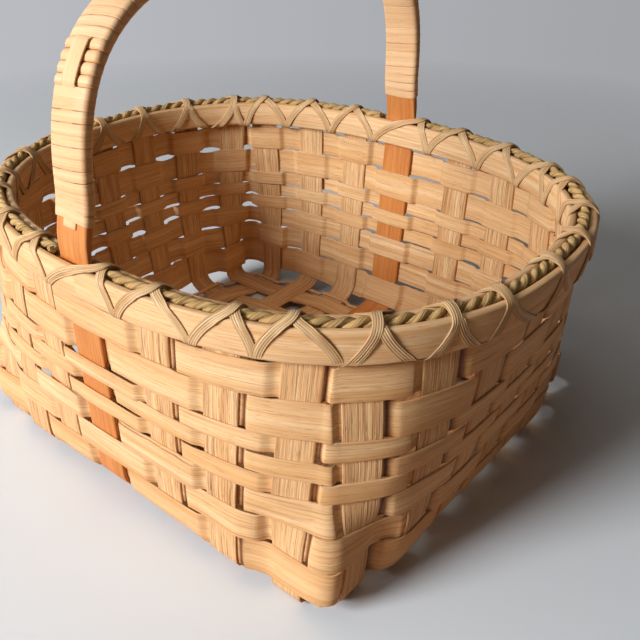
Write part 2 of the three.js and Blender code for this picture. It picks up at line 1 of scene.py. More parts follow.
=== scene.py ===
# %% [markdown]
# A splint basket: flat strips of split wood, woven square at the base and drawn round towards the rim, with a
# bentwood handle hoop that runs under the base, a rim of two hoops lashed with cane, and a wound grip. The
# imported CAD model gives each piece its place. Here each one gets the form and the finish of the real thing.

# %% Load the frame
import math

import bpy
import numpy as np
from mathutils import Matrix, Vector


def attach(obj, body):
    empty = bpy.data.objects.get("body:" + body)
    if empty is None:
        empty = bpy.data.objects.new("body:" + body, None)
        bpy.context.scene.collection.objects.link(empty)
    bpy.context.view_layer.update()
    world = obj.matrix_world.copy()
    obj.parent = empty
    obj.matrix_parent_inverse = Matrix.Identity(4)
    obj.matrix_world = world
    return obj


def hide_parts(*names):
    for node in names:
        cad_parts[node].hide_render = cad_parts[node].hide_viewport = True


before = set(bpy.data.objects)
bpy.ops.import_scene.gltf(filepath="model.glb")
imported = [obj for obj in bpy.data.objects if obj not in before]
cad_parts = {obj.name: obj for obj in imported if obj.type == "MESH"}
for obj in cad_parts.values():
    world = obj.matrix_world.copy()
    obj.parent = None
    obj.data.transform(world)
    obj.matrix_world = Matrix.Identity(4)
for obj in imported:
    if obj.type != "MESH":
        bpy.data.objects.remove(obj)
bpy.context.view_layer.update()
MM = 0.001
chance = np.random.default_rng(11)


def add_object(name, data):
    made = bpy.data.objects.new(name, data)
    bpy.context.scene.collection.objects.link(made)
    return made


print(len(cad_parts), "CAD pieces")

# %% [markdown]
# The camera stands where the picture was taken from: close to the near corner, above the rim, looking down by
# about 35 degrees. A close lens makes the near corner large and the far rim small. The picture is a crop of a
# larger one, so the lens is shifted rather than the camera turned.

# %% Camera
LENS_MM = 43.16
AZIMUTH, ELEVATION, ROLL = (math.radians(angle) for angle in (42.12, 34.90, -0.80))
EYE = Vector((0.2348, -0.2790, 0.2707))
SHIFT_X, SHIFT_Y = 0.1016, 0.0806

back = Vector((
    math.sin(AZIMUTH) * math.cos(ELEVATION),
    -math.cos(AZIMUTH) * math.cos(ELEVATION),
    math.sin(ELEVATION),
))
level_right = Vector((math.cos(AZIMUTH), math.sin(AZIMUTH), 0))
level_up = back.cross(level_right)
right = level_right * math.cos(ROLL) + level_up * math.sin(ROLL)
up = level_up * math.cos(ROLL) - level_right * math.sin(ROLL)
lens = bpy.data.cameras.new("camera")
lens.lens = LENS_MM
lens.sensor_width = 36
lens.shift_x, lens.shift_y = SHIFT_X, SHIFT_Y
lens.clip_start = 0.01
camera = add_object("camera", lens)
camera.matrix_world = Matrix.Translation(EYE) @ Matrix((right, up, back)).transposed().to_4x4()
bpy.context.scene.camera = camera
print("eye", [round(x, 3) for x in EYE])

# %% [markdown]
# The wall of the basket is a rounded rectangle that grows squarer from the rim to the base. All splints
# follow it, so its sizes come first. They are those of the CAD model, in millimetres, so that each woven
# piece lands where its solid is. Depths are measured down the wall from the rim.

# %% Sizes of the wall
STAKE_WIDTH, STAKE_THICKNESS = 16, 1.2
WEAVER_THICKNESS = 1.0
HANDLE_WIDTH, HANDLE_TAIL, HANDLE_GRIP = 19, 2.4, 4
HANDLE_ASIDE = -6
SPACE_BESIDE_HANDLE, SPACE_IN_HANDLE_WALL, SPACE_IN_END_WALL = 18.8, 15.3, 14.8
SIDE_STAKES = 3
CORNER_ROOM_X, CORNER_ROOM_Y = 19, 16
FLARE_X, FLARE_Y, FLARE_POWER = 14, 3, 1.55
RIM_SQUARENESS, BASE_SQUARENESS = 2.4, 5.5
BASE_RISE, FLAT_CORNER_SHARE = 7, 0.9
FOLD_RADIUS_MIDDLE, FOLD_RADIUS_CORNER = 11, 4.5
RIM_HOOP_HEIGHT = 13.8
FIRST_ROW = RIM_HOOP_HEIGHT + 3.1
ROW_GAP, GAP_UNDER_NARROW_ROWS, BOTTOM_ROW_LIFT = 0.7, 1.7, 11.5
ROW_WIDTHS = [14.4, 15.6, 8.2, 8.2, 8.2, 12.8, 14.8, 15.6]

rows = []
depth = FIRST_ROW
for index, width in enumerate(ROW_WIDTHS):
    rows.append((depth, depth + width))
    depth += width + (GAP_UNDER_NARROW_ROWS if index == 4 else ROW_GAP)
RIM_Z = rows[-1][1] + BOTTOM_ROW_LIFT
HANDLE_WALL_PITCH = STAKE_WIDTH + SPACE_IN_HANDLE_WALL
END_WALL_PITCH = STAKE_WIDTH + SPACE_IN_END_WALL
FIRST_PITCH = HANDLE_WIDTH / 2 + SPACE_BESIDE_HANDLE + STAKE_WIDTH / 2


def handle_wall_arc(number):
    if number == 0:
        return HANDLE_ASIDE
    return math.copysign(FIRST_PITCH + (abs(number) - 1) * HANDLE_WALL_PITCH, number)


def end_wall_arc(number):
    return number * END_WALL_PITCH


def stake_arc(wall, number):
    arc_of = handle_wall_arc if wall % 2 == 0 else end_wall_arc
    return float(arc_of(number) if wall < 2 else -arc_of(-number))


OUTER_X, OUTER_Y = handle_wall_arc(SIDE_STAKES), end_wall_arc(SIDE_STAKES)
BASE_HALF_X = OUTER_X + STAKE_WIDTH / 2 + CORNER_ROOM_X
BASE_HALF_Y = OUTER_Y + STAKE_WIDTH / 2 + CORNER_ROOM_Y
BASE_MIDDLE_Z = 1.35
print("rim height", round(RIM_Z, 2), "base", round(2 * BASE_HALF_X, 1), "by", round(2 * BASE_HALF_Y, 1))

# %% [markdown]
# Every strip asks for places on the wall many thousand times. So one quarter of the plan is worked out once,
# on a table of depths and arcs, and read back by interpolation. The other three quarters are its mirror
# images.

# %% A table of the wall
ARC_STEPS, FINER_STEPS = 400, 4
LEVEL_STEP, LEVELS_ABOVE_RIM = 1.0, 8
levels = np.arange(-LEVELS_ABOVE_RIM, RIM_Z + LEVEL_STEP, LEVEL_STEP)


def quarter_table():
    share = np.clip(levels / RIM_Z, 0, 1)[:, None] ** FLARE_POWER
    half_x = BASE_HALF_X + FLARE_X * (1 - share)
    half_y = BASE_HALF_Y + FLARE_Y * (1 - share)
    power = RIM_SQUARENESS + (BASE_SQUARENESS - RIM_SQUARENESS) * share
    angle = np.linspace(0, math.pi / 2, FINER_STEPS * ARC_STEPS + 1)
    reach = ((np.sin(angle) / half_x) ** power + (np.cos(angle) / half_y) ** power) ** (-1 / power)
    x, y = reach * np.sin(angle), -reach * np.cos(angle)
    steps = [np.diff(value, axis=1, prepend=value[:, :1]) for value in (x, y)]
    arcs = np.cumsum(np.hypot(*steps), axis=1)
    table = np.empty((len(levels), ARC_STEPS + 1, 4))
    for k, arc in enumerate(arcs):
        even = np.linspace(0, arc[-1], ARC_STEPS + 1)
        table[k, :, 0], table[k, :, 1] = np.interp(even, arc, x[k]), np.interp(even, arc, y[k])
        table[k, :, 2:] = np.gradient(table[k, :, :2], axis=0)
    table[:, 0, 2:], table[:, -1, 2:] = (1, 0), (0, 1)
    table[..., 2:] /= np.linalg.norm(table[..., 2:], axis=-1, keepdims=True)
    return table, arcs[:, -1]


PLAN, QUARTER_LENGTH = quarter_table()
WALL_AXIS = np.array([[0, -1], [1, 0], [0, 1], [-1, 0]], float)
print("quarter of the rim is", round(QUARTER_LENGTH[LEVELS_ABOVE_RIM], 1), "mm long")


def quarter_length(down):
    return np.interp(down, levels, QUARTER_LENGTH)


def quarter_point(down, crossed):
    level = np.clip((down - levels[0]) / LEVEL_STEP, 0, len(levels) - 1.001)
    row = level.astype(int)
    found = []
    for k in (row, row + 1):
        place = np.clip(crossed / QUARTER_LENGTH[k], 0, 1) * (ARC_STEPS - 1e-6)
        cell = place.astype(int)
        mix = (place - cell)[..., None]
        found.append(PLAN[k, cell] * (1 - mix) + PLAN[k, cell + 1] * mix)
    mix = (level - row)[..., None]
    return found[0] * (1 - mix) + found[1] * mix


def unit(vectors):
    return vectors / np.linalg.norm(vectors, axis=-1, keepdims=True)


def dot(a, b):
    return np.einsum("ij,ij->i", a, b)[:, None]


def columns(*parts):
    return np.stack(parts, -1)


def base_height(x, y):
    corner = np.minimum(1, (x / (OUTER_X * FLAT_CORNER_SHARE)) ** 2)
    corner = corner * np.minimum(1, (y / (OUTER_Y * FLAT_CORNER_SHARE)) ** 2)
    return BASE_MIDDLE_Z + BASE_RISE * (1 - corner), corner


def wall_frame(wall, arc, down, square=0.0):
    """Points of the wall, the directions across and outward there, and the depth where the fold ends."""
    arc, down = np.asarray(arc, float), np.asarray(down, float)
    wall, arc, down, square = np.broadcast_arrays(wall, arc, down, square)
    size = np.abs(arc)
    crossed = np.where(wall % 2 == 0, size, quarter_length(down) - size)
    x, y, along_x, along_y = np.moveaxis(quarter_point(down, crossed), -1, 0)
    sign = np.where(arc < 0, -1, 1)
    flip_x, flip_y = np.choose(wall, [sign, 1, -sign, -1]), np.choose(wall, [1, -sign, -1, sign])
    point = columns(x * flip_x, y * flip_y)
    outward = columns(along_y * flip_x, -along_x * flip_y)
    outward = unit(outward + (WALL_AXIS[wall] - outward) * square[..., None])
    height, corner = base_height(point[..., 0], point[..., 1])
    radius = FOLD_RADIUS_MIDDLE + (FOLD_RADIUS_CORNER - FOLD_RADIUS_MIDDLE) * corner
    fold_start = RIM_Z - height - radius
    turn = np.clip((down - fold_start) / radius, 0, math.pi / 2)
    z = np.where(turn > 0, RIM_Z - fold_start - radius * np.sin(turn), RIM_Z - down)
    inset = (radius * (1 - np.cos(turn)))[..., None]
    place = np.concatenate([point - outward * inset, z[..., None]], -1)
    across = columns(-outward[..., 1], outward[..., 0], np.zeros_like(z))
    out = np.concatenate([outward * np.cos(turn)[..., None], -np.sin(turn)[..., None]], -1)
    return place, across, out, fold_start + radius * math.pi / 2


# %% [markdown]
# Round the rim there are 28 stake ends, the two handle legs among them, numbered counterclockwise from the
# leg on the -Y wall. A row of weaving passes outside one stake and inside the next, and the row below it does
# the reverse. That rule alone makes the pattern of the wall.

# %% The stakes round the rim
ring = []
for wall in range(4):
    for number in range(-SIDE_STAKES if wall else 0, SIDE_STAKES + 1):
        ring.append((wall, number, stake_arc(wall, number), wall % 2 == 0 and number == 0))
ring += [(0, number, stake_arc(0, number), False) for number in range(-SIDE_STAKES, 0)]
RING_WALL = np.array([stake[0] for stake in ring])
RING_ARC = np.array([stake[2] for stake in ring])
IS_LEG = np.array([stake[3] for stake in ring])
RING_HALF = np.where(IS_LEG, HANDLE_WIDTH, STAKE_WIDTH) / 2
ENDS = len(ring)


def stake_is_outside(order, row):
    return (order + row) % 2 == 0


def smoothstep(value, low, high):
    share = np.clip((value - low) / (high - low), 0, 1)
    return share * share * (3 - 2 * share)


def square_at(down):
    return smoothstep(down, rows[4][1], rows[-1][0])


def stake_frame(wall, arc, down):
    return wall_frame(wall, arc, down, square_at(down))


def fold_end(wall, arc):
    """The depth at which a stake lies flat in the base."""
    return float(stake_frame(wall, arc, rows[-1][1])[3])


print(ENDS, "stake ends,", len(rows), "rows")

# %% [markdown]
# A splint is a flat strip with a slightly crowned face and edges that are worn round. It could be a plane
# with Solidify and Bevel modifiers, but then the grain could not follow it. So a section is carried along
# each strip, and every corner gets a place on the Grain map: metres along the strip, and metres round its
# section. A number called Tone differs from strip to strip. One called Edge is 1 at its edges, and more
# in a slot.

# %% The section of a splint
MOST_BEVEL = 0.3
UNDERSIDE_CROWN = 0.5
EDGE_FACE, EDGE_CUT_BACK = 0.24, 0.18


def splint_section(width, thickness, crown=0.12, points=4, shoulder=0.45, bevel=0.3):
    """(u, v) round a strip's section, u across its width, v through its thickness, and how near the edge."""
    bevel = min(bevel, thickness * MOST_BEVEL)
    flat = width / 2 - bevel
    u = np.concatenate([[-flat], np.linspace(-flat + shoulder, flat - shoulder, points), [flat]])
    rise = crown * (1 - (u / flat) ** 2)
    top = columns(u, thickness / 2 + rise)
    under = columns(u, -thickness / 2 + UNDERSIDE_CROWN * rise)[::-1]
    side, corner = width / 2 - bevel * EDGE_CUT_BACK, thickness * EDGE_FACE
    right_edge, left_edge = [[side, corner], [side, -corner]], [[-side, -corner], [-side, corner]]
    near = np.abs(u / flat) ** 3
    near_edge = np.concatenate([near, [1, 1], near, [1, 1]])
    return np.concatenate([top, right_edge, under, left_edge]), near_edge


# %% A strip along a path
def lengths_along(line):
    return np.concatenate([[0], np.cumsum(np.linalg.norm(np.diff(line, axis=0), axis=1))])


def strip(grid, closed=False, tone=0.0, edge=0.0):
    """Vertices, faces and attributes of a section along a path. grid is stations x points x 3, in mm."""
    stations, points = grid.shape[:2]
    loops = stations if closed else stations - 1
    i, j = np.meshgrid(np.arange(loops), np.arange(points), indexing="ij")
    round_face = ((0, 0), (0, 1), (1, 1), (1, 0))
    corners = columns(*((i + a) % stations * points + (j + b) % points for a, b in round_face))
    middle = grid.mean(1)
    u = lengths_along(np.concatenate([middle, middle[:1]]))
    round_step = np.linalg.norm(np.roll(grid, -1, axis=1) - grid, axis=-1).mean(0)
    v = np.concatenate([[0], np.cumsum(round_step)])
    grain = np.stack([columns(u[i + a], v[j + b]) for a, b in round_face], -2)
    faces, grains = corners.reshape(-1, 4), grain.reshape(-1, 4, 2)
    a, b, c, d = (grid.reshape(-1, 3)[faces[:, k]] for k in range(4))
    inside_out = dot((a + c) / 2, np.cross(c - a, d - b)).sum() < 0
    if inside_out:
        faces, grains = faces[:, ::-1], grains[:, ::-1]
    caps = []
    if not closed:
        first, last = np.arange(points), (stations - 1) * points + np.arange(points)
        caps = [first if inside_out else first[::-1], last[::-1] if inside_out else last]
    cap_grain = [columns(np.zeros(points), v[:-1])] * len(caps)
    tones, edges = (np.broadcast_to(value, (stations, points)).ravel() for value in (tone, edge))
    return {"vertices": grid.reshape(-1, 3), "faces": faces, "grain": grains,
            "caps": caps, "cap_grain": cap_grain, "tone": tones, "edge": edges}


def sweep(centre, across, out, section, edge=0.0, closed=False, tone=0.0):
    """A strip with one section, or one section for each station, along a path with its directions."""
    lap = np.roll(centre, -1, axis=0) - np.roll(centre, 1, axis=0)
    along = unit(lap if closed else np.gradient(centre, axis=0))
    out = unit(out - dot(out, along) * along)
    side = unit(np.cross(along, out))
    side = side * np.sign(dot(side, across))
    section = np.broadcast_to(section, (len(centre), *np.shape(section)[-2:]))
    grid = centre[:, None] + side[:, None] * section[..., :1] + out[:, None] * section[..., 1:]
    return strip(grid, closed, tone, edge)


# %% [markdown]
# The strips of a piece become one mesh, which rides on the basket and stands in for a CAD piece. No splint
# goes below the table. All pieces of one kind share a slot, so that each kind can be given another finish.

# %% Turning strips into a piece
def make_piece(name, strips, material, nodes):
    starts = np.cumsum([0] + [len(s["vertices"]) for s in strips])
    vertices = np.concatenate([s["vertices"] for s in strips]) * MM
    vertices[:, 2] = np.maximum(vertices[:, 2], 0)
    quads = np.concatenate([s["faces"] + start for s, start in zip(strips, starts)])
    caps = [cap + start for s, start in zip(strips, starts) for cap in s["caps"]]
    mesh = bpy.data.meshes.new(name)
    mesh.from_pydata(vertices.tolist(), [], quads.tolist() + [cap.tolist() for cap in caps])
    grain = [np.concatenate([s["grain"] for s in strips]).reshape(-1, 2)]
    grain += [g for s in strips for g in s["cap_grain"]]
    layer = mesh.uv_layers.new(name="Grain")
    layer.data.foreach_set("uv", (np.concatenate(grain) * MM).astype(np.float32).ravel())
    for key in ("tone", "edge"):
        values = np.concatenate([s[key] for s in strips]).astype(np.float32)
        mesh.attributes.new(key.capitalize(), "FLOAT", "POINT").data.foreach_set("value", values)
    smooth = np.concatenate([np.ones(len(quads), bool), np.zeros(len(caps), bool)])
    mesh.polygons.foreach_set("use_smooth", smooth)
    mesh.materials.append(material)
    mesh.validate()
    piece = add_object(name, mesh)
    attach(piece, "root")
    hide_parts(*nodes)


# %% [markdown]
# Split wood is pale honey, with long fibres that show as streaks of many widths, small dark pores, and faces
# that are matt where the fibres stand open. A picture of wood could be laid on the strips, but noise that is
# stretched along the Grain map gives each strip its own streaks at the true scale, from any side.

# %% Node helpers
def output(tree, kind, name=0, **settings):
    """Adds a node, fills its inputs by name or number, and gives back one of its outputs."""
    made = tree.nodes.new("ShaderNode" + kind)
    for key, value in settings.pop("inputs", {}).items():
        if isinstance(value, bpy.types.NodeSocket):
            tree.links.new(value, made.inputs[key])
        else:
            made.inputs[key].default_value = value
    for key, value in settings.items():
        setattr(made, key, value)
    return made.outputs[name]


def calculate(tree, operation, a, b):
    return output(tree, "Math", operation=operation, inputs={0: a, 1: b})


def blend(tree, share, a, b, how="MIX"):
    made = tree.nodes.new("ShaderNodeMix")
    made.data_type, made.blend_type = "RGBA", how
    for key, value in zip((0, 6, 7), (share, a, b)):
        if isinstance(value, bpy.types.NodeSocket):
            tree.links.new(value, made.inputs[key])
        else:
            made.inputs[key].default_value = value
    return made.outputs[2]


def between(tree, value, low, high, to_low=0.0, to_high=1.0):
    return output(tree, "MapRange", inputs={0: value, 1: low, 2: high, 3: to_low, 4: to_high})


def fades_in(tree, value, low, high, strength):
    """0 where the value is low, and up to the strength where it is high."""
    return calculate(tree, "MULTIPLY", between(tree, value, low, high), strength)


# %% Streaks along the grain
TONE_MOVES_GRAIN = 9.0


def new_material(name):
    """A material, its node tree and its shader."""
    material = bpy.data.materials.new(name)
    material.use_nodes = True
    return material, material.node_tree, material.node_tree.nodes["Principled BSDF"]


def attribute(tree, name):
    return output(tree, "Attribute", "Fac", attribute_name=name)


def streaks(tree, along, across, seed, detail):
    """Noise drawn out along the strip. along and across are features per metre."""
    grain = output(tree, "UVMap", uv_map="Grain")
    parts = output(tree, "SeparateXYZ", inputs={0: grain}).node.outputs
    place = output(tree, "CombineXYZ", inputs={
        0: calculate(tree, "MULTIPLY", parts[0], along),
        1: calculate(tree, "MULTIPLY", parts[1], across),
        2: calculate(tree, "MULTIPLY_ADD", attribute(tree, "Tone"), TONE_MOVES_GRAIN),
    })
    apart = (seed, seed * 1.7, seed * 2.3)
    shifted = output(tree, "VectorMath", operation="ADD", inputs={0: place, 1: apart})
    return output(tree, "TexNoise", inputs={0: shifted, "Scale": 1.0, "Detail": detail, "Roughness": 0.5})


def srgb(red, green, blue):
    """A colour as seen on screen, 0 to 255, in the linear values that shaders want."""
    shares = [value / 255 for value in (red, green, blue)]
    return (*(share / 12.92 if share <= 0.04 else ((share + 0.055) / 1.055) ** 2.4 for share in shares), 1.0)


# %% [markdown]
# One recipe makes every wood and cane. Two honey colours are mixed along broad streaks, and narrower streaks
# and pores lay the stain over them. Each strip has its own tone, and worn edges take more stain. On grooved
# cane the same stain lies down the bottom of each groove, where it is painted shade. Where a weaver comes out
# from behind a stake, shade is painted in the slot: its Edge goes over 1 there and brings in the stain and a
# dark brown.

# %% The finish of split wood
GRAIN = {
    "broad": (7, 260, 0.0, 3.0),
    "middle": (14, 900, 3.1, 2.0),
    "fine": (34, 1900, 7.7, 2.0),
    "pores": (160, 3400, 5.3, 1.0),
    "blotch": (16, 30, 9.1, 2.0),
}
# Painted shade: a dark brown laid in a weaver's slot beside a stake, where its Edge runs over this range.
PAINTED_SLOT_SHADE = srgb(84, 42, 16)
SLOT_SHADE_EDGE_RANGE = 1.2, 4.0
GLOSS, RELIEF_MM = 0.32, 0.4


def split_wood(name, pale, deep, stain, lines=0.5, bump=0.5, rough=(0.52, 0.72), edge_stain=0.22):
    material, tree, shader = new_material(name)
    broad, middle, fine, pores, blotch = (streaks(tree, *sizes) for sizes in GRAIN.values())
    tone, edge = attribute(tree, "Tone"), attribute(tree, "Edge")
    colour = blend(tree, between(tree, broad, 0.34, 0.68), pale, deep)
    colour = blend(tree, fades_in(tree, middle, 0.5, 0.75, lines * 0.5), colour, stain)
    colour = blend(tree, fades_in(tree, fine, 0.46, 0.72, lines), colour, stain)
    colour = blend(tree, fades_in(tree, blotch, 0.55, 0.8, 0.35), colour, deep)
    colour = blend(tree, fades_in(tree, pores, 0.66, 0.74, 0.5), colour, stain, "MULTIPLY")
    colour = blend(tree, between(tree, tone, -1.0, 1.0, 0.0, 0.4), colour, deep)
    # Edge stain: real wear at the strip edges, and painted shade where the Edge rises in groove bottoms and
    # in a weaver's slot.
    colour = blend(tree, calculate(tree, "MULTIPLY", edge, edge_stain), colour, stain)
    # Painted shade in a weaver's slot, where its Edge goes over 1.2.
    colour = blend(tree, between(tree, edge, *SLOT_SHADE_EDGE_RANGE, 0.0, 0.9), colour, PAINTED_SLOT_SHADE)
    tree.links.new(colour, shader.inputs["Base Color"])
    ridges = [calculate(tree, "MULTIPLY", noise, share) for noise, share in ((middle, 0.8), (fine, 0.5))]
    height = calculate(tree, "ADD", *ridges)
    height = calculate(tree, "SUBTRACT", height, fades_in(tree, pores, 0.62, 0.74, 0.3))
    relief = output(tree, "Bump", inputs={"Strength": bump, "Distance": RELIEF_MM * MM, "Height": height})
    tree.links.new(relief, shader.inputs["Normal"])
    tree.links.new(between(tree, fine, 0.3, 0.8, *rough), shader.inputs["Roughness"])
    shader.inputs["Specular IOR Level"].default_value = GLOSS
    return material


# %% Woods and canes
stake_wood = split_wood("stake splint", srgb(252, 220, 172), srgb(233, 186, 132), srgb(142, 80, 36),
                        lines=0.85, bump=1.0)
weaver_wood = split_wood("weaver splint", srgb(252, 220, 173), srgb(232, 184, 128), srgb(158, 92, 42),
                         bump=0.6)
rim_wood = split_wood("rim splint", srgb(252, 222, 178), srgb(234, 188, 134), srgb(170, 106, 52))
bent_wood = split_wood("bentwood", srgb(226, 154, 90), srgb(206, 130, 66), srgb(134, 70, 28),
                       lines=0.45, bump=0.3, rough=(0.4, 0.58))
# The cane's stronger edge stain also darkens its groove bottoms, which is painted shade.
cane = split_wood("lacing cane", srgb(244, 214, 170), srgb(216, 174, 122), srgb(112, 70, 34),
                  lines=0.6, rough=(0.45, 0.62), edge_stain=0.38)
wrap_cane = split_wood("wrap cane", srgb(252, 218, 176), srgb(238, 194, 146), srgb(176, 122, 74),
                       lines=0.3, bump=0.2, rough=(0.42, 0.6))
grass = split_wood("twisted grass", srgb(230, 198, 142), srgb(188, 150, 92), srgb(88, 62, 28),
                   lines=0.9, bump=0.9, rough=(0.6, 0.8))
finishes = stake_wood, weaver_wood, rim_wood, bent_wood, cane, wrap_cane, grass
print("finishes:", [finish.name for finish in finishes])

# %% [markdown]
# Each weaver is one long splint. It passes over a stake, slips through the space to the other face, and lies
# behind the next one. It starts on the outside of a stake, goes all the way round, and runs on for three
# stakes over its own beginning, which is how such rows are closed. It could be simulated as cloth pulled
# through the stakes. But a stiff splint that is pulled tight has a simple path. Over a stake it is a low
# arch. In the space it runs straight on, and within a few millimetres it dives behind the next stake.

# %% How a splint bends
WEAKEST_WAVE = 0.4
STRAIGHT_TURN = 0.05


def smooth_wave(run, total, strength, seed, waves=(2, 3, 5)):
    """A slow wobble that closes on itself after one lap."""
    draw = np.random.default_rng(seed)
    shares = draw.uniform(WEAKEST_WAVE, 1, len(waves))
    phases = draw.uniform(0, 2 * math.pi, len(waves))
    angle = 2 * math.pi * run / total
    return strength * sum(s * np.sin(k * angle + p) for s, k, p in zip(shares, waves, phases))


def bend_between(start, start_way, end, end_way, steps):
    """Points between two ends that leave and arrive along the given ways, rounding the turn between them."""
    reach = np.linalg.norm(end - start, axis=-1, keepdims=True)
    turn = np.arccos(np.clip(dot(unit(start_way), unit(end_way)), -1, 1))
    rounded = 2 * np.tan(turn / 4) / np.sin(np.maximum(turn, 1e-3) / 2)
    pull = reach * np.where(turn > STRAIGHT_TURN, rounded, 1)
    share = inner_shares(steps)[:, None, None]
    square, cube = share ** 2, share ** 3
    return ((2 * cube - 3 * square + 1) * start + (cube - 2 * square + share) * pull * start_way
            + (3 * square - 2 * cube) * end + (cube - square) * pull * end_way)


def inner_shares(steps):
    return np.arange(1, steps + 1) / (steps + 1)


# %% Spaces between stakes
def free_space(order, lanes):
    """The distance along the wall from a stake's edge to that of the next one, at each depth."""
    after = (order + 1) % ENDS
    if RING_WALL[order] == RING_WALL[after]:
        apart = RING_ARC[after] - RING_ARC[order] + 0 * lanes
    else:
        apart = quarter_length(lanes) - abs(RING_ARC[order]) - abs(RING_ARC[after])
    return apart - RING_HALF[order] - RING_HALF[after]


def wall_lane(order, lanes):
    """Where the lanes of a row meet a stake: places, across, outward, and the depth where the fold ends."""
    return stake_frame(RING_WALL[order], RING_ARC[order], lanes)


print("spaces at the rim:", sorted({round(float(free_space(k, np.zeros(1))[0]), 1) for k in range(ENDS)}))

# %% [markdown]
# On the outside a weaver leaves its stake straight ahead and goes on towards the next one. On the inside it
# comes out after a little slack. Round a corner it comes out at once, so that the whole turn is made on the
# outside. Slack and bends differ from wall to wall, as in the photo, counterclockwise from the -Y wall.

# %% A weaver past the edge of a stake
SLACK_WHERE_RISES, SLACK_WHERE_FALLS = (2.2, 1.2, 1.2, 1.2), (1.0, 1.6, 1.2, 1.2)
RISE_OVER, FALL_OVER = (2.2, 5.5, 4, 4), (5.5, 2.8, 4, 4)
SLACK_BEHIND_LEG = 3.2
MOST_SLACK, MOST_BEND, TURNS_FROM = 0.15, 0.4, 0.1
LEAVES_STRAIGHT = 1.5
DIVE_STEPS, RUN_STEPS = 6, 4


def beyond_stake(order, lanes, depths, frame_at, side, way, level, other_level):
    """A weaver's stations past one edge of a stake, how far into the space they are, and its direction."""
    neighbour = (order + way) % ENDS
    half, space = RING_HALF[order], free_space(order if way > 0 else neighbour, depths)
    bend_at, rises = neighbour if side > 0 else order, (way > 0) == (side < 0)
    slack = (SLACK_WHERE_RISES if rises else SLACK_WHERE_FALLS)[RING_WALL[bend_at]]
    slack = min(SLACK_BEHIND_LEG if IS_LEG[bend_at] else slack, MOST_SLACK * space.mean())
    bend_over = min((RISE_OVER if rises else FALL_OVER)[RING_WALL[bend_at]], MOST_BEND * space.mean())
    corner = RING_WALL[order] != RING_WALL[neighbour]
    point, across, out, _ = frame_at(order, lanes)

    def straight(distance, level):
        return point + across * way * (half + distance) + out * level[..., None]

    if side > 0 and not corner:
        there, across_there, out_there, _ = frame_at(neighbour, lanes)
        start = straight(0, 0 * level)
        apart = there - across_there * way * RING_HALF[neighbour] - start
        ahead = across * dot(apart, across)
        steps = np.arange(1, RUN_STEPS + 1)[:, None] / RUN_STEPS
        share = ((1 - (slack + bend_over) / space) * steps)[..., None]
        outward = unit(out + (out_there - out) * share)
        place = start + ahead * share + (apart - ahead) * share ** LEAVES_STRAIGHT
        direction = ahead + (apart - ahead) * LEAVES_STRAIGHT * share[-1] ** (LEAVES_STRAIGHT - 1)
        return place + outward * level[..., None], share.mean((1, 2)), unit(way * direction)
    if side > 0:
        return straight(TURNS_FROM * space.mean(), level)[None], np.array([TURNS_FROM]), across
    edge = straight(slack, level)
    if not corner:
        return edge[None], np.array([slack / space.mean()]), across
    far = straight(slack + bend_over, other_level)
    rising = bend_between(edge, way * across, far, way * across, DIVE_STEPS)
    shares = np.linspace(slack, slack + bend_over, DIVE_STEPS + 2) / space.mean()
    return np.concatenate([edge[None], rising, far[None]]), shares, across


# %% [markdown]
# A row is the weaver's stations on each stake and in each space, one after another. Hand-split rows are never
# quite level, so all rows share one slow drift, and each adds a little of its own. Some rows draw apart
# between the stakes, which leaves the rounded holes that shine in the dark inner wall.

# %% One row of weaving
CROSSING = (STAKE_THICKNESS + WEAVER_THICKNESS) / 2
STAKE_SWAY, WEAVE_PLAY = 0.3, 0.08
ARCH_OVER_STAKE = 0.22
OVERLAP_STAKES, CORNER_STEPS = 3, 14
ON_STAKE = np.linspace(-1, 1, 5)
# Strength of the painted shade in the slot past a stake, carried on the weaver's Edge.
SLOT_SHADE_STRENGTH = 4.0
OPENS_ON_WALL, HOLE_ROUNDNESS = (1.0, 0.3, 1.0, 2.2), 0.6
ROW_WOBBLE, DRIFT_SEED = 0.35, 40
OWN_WOBBLE, OWN_SEED, OWN_WAVES = 0.3, 50, (3, 7, 11)
WIDTH_WAVES = ((0.012, 80, (4, 9, 13)), (0.006, 60, (47, 83, 131)))
HOLES_MEAN, HOLES_DIFFER, HOLE_SEED, HOLE_WAVES = 0.7, 0.3, 30, (5, 11, 17)


def opening(share, order):
    return np.abs(np.sin(math.pi * share)) ** HOLE_ROUNDNESS * OPENS_ON_WALL[RING_WALL[order]]


def on_stake(order, row, step, laps_over):
    """Which side of a stake the weaver is on, how far from the wall's middle, and how far the stake sways."""
    side = -1 if stake_is_outside(order, row) else 1
    sway = 0 if IS_LEG[order] else -side * STAKE_SWAY
    gap = ((HANDLE_TAIL if IS_LEG[order] else STAKE_THICKNESS) + WEAVER_THICKNESS) / 2 + WEAVE_PLAY
    if (step <= laps_over and side < 0) or (step >= ENDS and side > 0):
        gap += WEAVER_THICKNESS + WEAVE_PLAY
    return side, gap, sway


